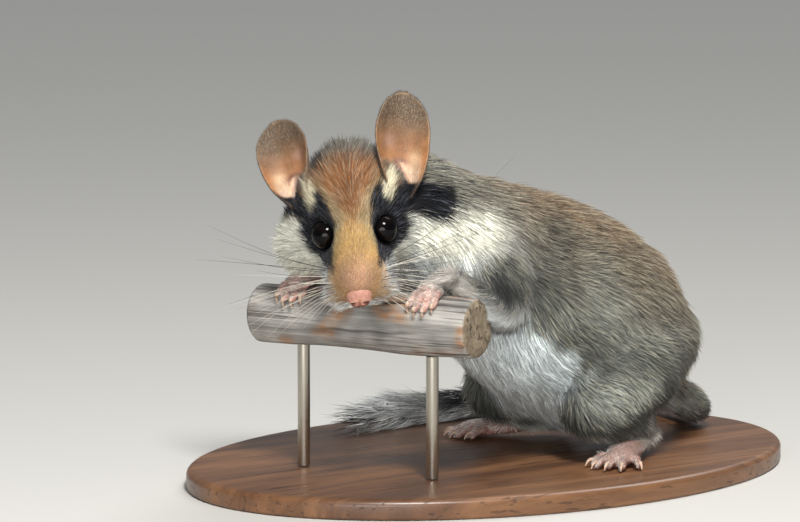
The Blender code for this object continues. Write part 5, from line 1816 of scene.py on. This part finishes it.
def make_studio(studio):
    """The floor, soft light from all round, two round lamps, a sun from behind and the camera at the photo's
    angle."""
    make_floor(studio)
    scene = bpy.context.scene
    world = bpy.data.worlds.new("studio")
    world.use_nodes = True
    room = world.node_tree.nodes["Background"].inputs
    room["Color"].default_value, room["Strength"].default_value = ROOM_COLOUR, studio.room
    scene.world = world
    add_round_lamp("key", KEY_AT, KEY_SIZE, studio.key, KEY_COLOUR)
    add_round_lamp("fill", FILL_AT, FILL_SIZE, studio.fill, FILL_COLOUR)
    sun = bpy.data.lights.new("rim", "SUN")
    sun.energy, sun.angle = studio.rim, RIM_ANGLE
    add_lamp(sun, RIM_AT)

    data = bpy.data.cameras.new("camera")
    data.lens, data.sensor_width, data.clip_start = studio.lens, 36.0, 0.01
    camera = in_scene("camera", data)
    at = np.array(CAMERA_AT_ROW)
    to_camera, right = camera_ways()
    back_way = to_camera * math.cos(studio.elevation) + np.array([0, 0, math.sin(studio.elevation)])
    view_up = np.cross(back_way, right)
    camera.location = at + back_way * CAMERA_AWAY
    aimed(camera, at + right * CAMERA_AIM[0] + view_up * CAMERA_AIM[1])
    scene.camera = camera
    scene.view_settings.view_transform = "Standard"
    scene.view_settings.look = "None"


# Sizes and colours that a user may change
def colour_of(name, description, *rgb):
    """A colour setting whose default is given as a display colour of 0 to 255."""
    return FloatVectorProperty(
        name=name, description=description, default=linear(*rgb), subtype="COLOR", min=0.0, max=1.0)


def length_of(name, description, default, least, most, precision=2):
    """A length setting in metres."""
    return FloatProperty(
        name=name, description=description, default=default, min=least, max=most, precision=precision,
        subtype="DISTANCE", unit="LENGTH")


class DormouseCoat(bpy.types.PropertyGroup):
    """Number, size and lie of the coat's tufts."""

    tufts: IntProperty(
        name="Tufts", description="How many tufts the whole coat has", default=285000, min=1000, max=320000)
    tuft_width: length_of("Tuft Width", "Width of a tuft of middling length", 0.00018, 0.00005, 0.001, 5)
    back_length: length_of("Back Length", "Length of the hair on the trunk", 0.0062, 0.001, 0.012)
    head_length: length_of("Head Length", "Length of the longest hair on the head", 0.0052, 0.001, 0.01)
    tail_length: length_of("Tail Length", "Length of the hair at the tail's tip", 0.012, 0.002, 0.02)
    lift: FloatProperty(
        name="Lift", description="Angle between the hair and the skin", default=math.radians(23), min=0.0,
        max=math.radians(60), subtype="ANGLE", unit="ROTATION")


class DormouseColours(bpy.types.PropertyGroup):
    """Colours of the coat and of the bare skin."""

    spine: colour_of("Spine", "Hair along the spine", 123, 104, 82)
    flank: colour_of("Flank", "Hair on the sides and thighs", 111, 113, 106)
    white: colour_of("White", "Hair of the chest, belly and tail's tip", 242, 244, 242)
    cream: colour_of("Cream", "Hair of the cheeks, neck and ear tufts", 232, 231, 215)
    mask: colour_of("Mask", "Black hair round the eyes and behind the ears", 22, 23, 27)
    crown: colour_of("Crown", "Hair between the ears", 98, 94, 87)
    forehead: colour_of("Forehead", "Hair above and between the eyes", 150, 94, 42)
    bridge: colour_of("Bridge", "Hair on the bridge of the nose", 192, 152, 88)
    muzzle: colour_of("Muzzle", "Thin hair beside and over the nose", 184, 138, 105)
    nose: colour_of("Nose", "Bare skin of the nose", 184, 133, 115)
    ear_skin: colour_of("Ear Skin", "Bare skin of the ears", 196, 140, 98)
    paw_skin: colour_of("Paw Skin", "Bare skin of paws and feet", 194, 148, 135)


class DormouseStand(bpy.types.PropertyGroup):
    """Colours of the branch, base and rods."""

    bark: colour_of("Bark", "Grey weathered wood of the branch", 160, 157, 152)
    stain: colour_of("Stain", "Orange stains on the branch", 178, 128, 84)
    # inside the cracks and splits: partly the wood's own colour, partly painted shade
    crack: colour_of("Crack", "Inside of the branch's cracks", 44, 36, 31)
    base_dark: colour_of("Dark Grain", "Darker grain of the base", 88, 58, 38)
    base_light: colour_of("Light Grain", "Lighter grain of the base", 134, 94, 62)
    rod: colour_of("Rods", "Metal of the rods", 178, 172, 160)


class DormouseStudio(bpy.types.PropertyGroup):
    """Floor, light and camera."""

    floor: colour_of("Floor", "Colour of the floor", 200, 199, 195)
    key: FloatProperty(
        name="Key", description="Power of the main lamp", default=9.5, min=0.0, max=100.0, unit="POWER")
    fill: FloatProperty(
        name="Fill", description="Power of the soft lamp near the camera", default=6.0, min=0.0, max=100.0,
        unit="POWER")
    rim: FloatProperty(
        name="Rim", description="Strength of the even light from behind", default=1.2, min=0.0, max=20.0)
    room: FloatProperty(
        name="Room", description="Strength of the light from all round", default=0.2, min=0.0, max=5.0,
        subtype="FACTOR")
    elevation: FloatProperty(
        name="Elevation", description="Camera's angle above level", default=math.radians(8), min=-1.5,
        max=1.5, subtype="ANGLE", unit="ROTATION")
    lens: FloatProperty(
        name="Lens", description="Focal length of the camera", default=180.0, min=20.0, max=400.0,
        subtype="DISTANCE_CAMERA", unit="CAMERA")


class DormouseSettings(bpy.types.PropertyGroup):
    """All that a user may change."""

    coat: PointerProperty(name="Coat", description="The coat's tufts", type=DormouseCoat)
    colours: PointerProperty(name="Colours", description="Coat and skin colours", type=DormouseColours)
    stand: PointerProperty(name="Stand", description="Branch, base and rods", type=DormouseStand)
    studio: PointerProperty(name="Studio", description="Floor, light and camera", type=DormouseStudio)


class DORMOUSE_OT_skin(bpy.types.Operator):
    """Builds the skin with ears, lids, paws and feet"""

    bl_idname = "dormouse.skin"
    bl_label = "Skin"
    bl_options = {"REGISTER", "UNDO"}

    def execute(self, context):
        make_skin(palette(context.scene.dormouse.colours))
        return {"FINISHED"}


class DORMOUSE_OT_coat(bpy.types.Operator):
    """Grows the coat's tufts over the skin"""

    bl_idname = "dormouse.coat"
    bl_label = "Coat"
    bl_options = {"REGISTER", "UNDO"}

    def execute(self, context):
        settings = context.scene.dormouse
        make_coat(settings.coat, palette(settings.colours))
        return {"FINISHED"}


class DORMOUSE_OT_eyes(bpy.types.Operator):
    """Builds both eyes"""

    bl_idname = "dormouse.eyes"
    bl_label = "Eyes"
    bl_options = {"REGISTER", "UNDO"}

    def execute(self, context):
        make_eyes()
        return {"FINISHED"}


class DORMOUSE_OT_nose(bpy.types.Operator):
    """Builds the bare nose"""

    bl_idname = "dormouse.nose"
    bl_label = "Nose"
    bl_options = {"REGISTER", "UNDO"}

    def execute(self, context):
        make_nose(palette(context.scene.dormouse.colours))
        return {"FINISHED"}


class DORMOUSE_OT_claws(bpy.types.Operator):
    """Builds the claws of the fingers and toes"""

    bl_idname = "dormouse.claws"
    bl_label = "Claws"
    bl_options = {"REGISTER", "UNDO"}

    def execute(self, context):
        make_claws()
        return {"FINISHED"}


class DORMOUSE_OT_whiskers(bpy.types.Operator):
    """Builds the whiskers and brow hairs"""

    bl_idname = "dormouse.whiskers"
    bl_label = "Whiskers"
    bl_options = {"REGISTER", "UNDO"}

    def execute(self, context):
        make_whiskers()
        return {"FINISHED"}


class DORMOUSE_OT_branch(bpy.types.Operator):
    """Builds the branch under the forepaws"""

    bl_idname = "dormouse.branch"
    bl_label = "Branch"
    bl_options = {"REGISTER", "UNDO"}

    def execute(self, context):
        make_perch(context.scene.dormouse.stand)
        return {"FINISHED"}


class DORMOUSE_OT_stand(bpy.types.Operator):
    """Builds the base and its two rods"""

    bl_idname = "dormouse.stand"
    bl_label = "Base and Rods"
    bl_options = {"REGISTER", "UNDO"}

    def execute(self, context):
        make_stand(context.scene.dormouse.stand)
        return {"FINISHED"}


class DORMOUSE_OT_studio(bpy.types.Operator):
    """Sets up the floor, lamps and camera"""

    bl_idname = "dormouse.studio"
    bl_label = "Studio"
    bl_options = {"REGISTER", "UNDO"}

    def execute(self, context):
        make_studio(context.scene.dormouse.studio)
        return {"FINISHED"}


class DORMOUSE_PT_pieces(bpy.types.Panel):
    """The pieces of the animal and its stand, and their sizes and colours"""

    bl_label = "Garden Dormouse"
    bl_idname = "DORMOUSE_PT_pieces"
    bl_space_type = "VIEW_3D"
    bl_region_type = "UI"
    bl_category = "Dormouse"

    def draw(self, context):
        layout = self.layout
        for name in DormouseSettings.__annotations__:
            group = getattr(context.scene.dormouse, name)
            box = layout.box()
            box.label(text=name.capitalize())
            for key in type(group).__annotations__:
                box.prop(group, key)
        for name in ("skin", "coat", "eyes", "nose", "claws", "whiskers", "branch", "stand", "studio"):
            layout.operator("dormouse." + name)


CLASSES = (
    DormouseCoat, DormouseColours, DormouseStand, DormouseStudio, DormouseSettings, DORMOUSE_OT_skin,
    DORMOUSE_OT_coat, DORMOUSE_OT_eyes, DORMOUSE_OT_nose, DORMOUSE_OT_claws, DORMOUSE_OT_whiskers,
    DORMOUSE_OT_branch, DORMOUSE_OT_stand, DORMOUSE_OT_studio, DORMOUSE_PT_pieces,
)


def register():
    for cls in CLASSES:
        bpy.utils.register_class(cls)
    bpy.types.Scene.dormouse = PointerProperty(type=DormouseSettings)


def unregister():
    del bpy.types.Scene.dormouse
    for cls in reversed(CLASSES):
        bpy.utils.unregister_class(cls)


def main():
    register()
    bpy.ops.dormouse.skin()
    bpy.ops.dormouse.coat()
    bpy.ops.dormouse.eyes()
    bpy.ops.dormouse.nose()
    bpy.ops.dormouse.claws()
    bpy.ops.dormouse.whiskers()
    bpy.ops.dormouse.branch()
    bpy.ops.dormouse.stand()
    bpy.ops.dormouse.studio()


if __name__ == "__main__":
    main()
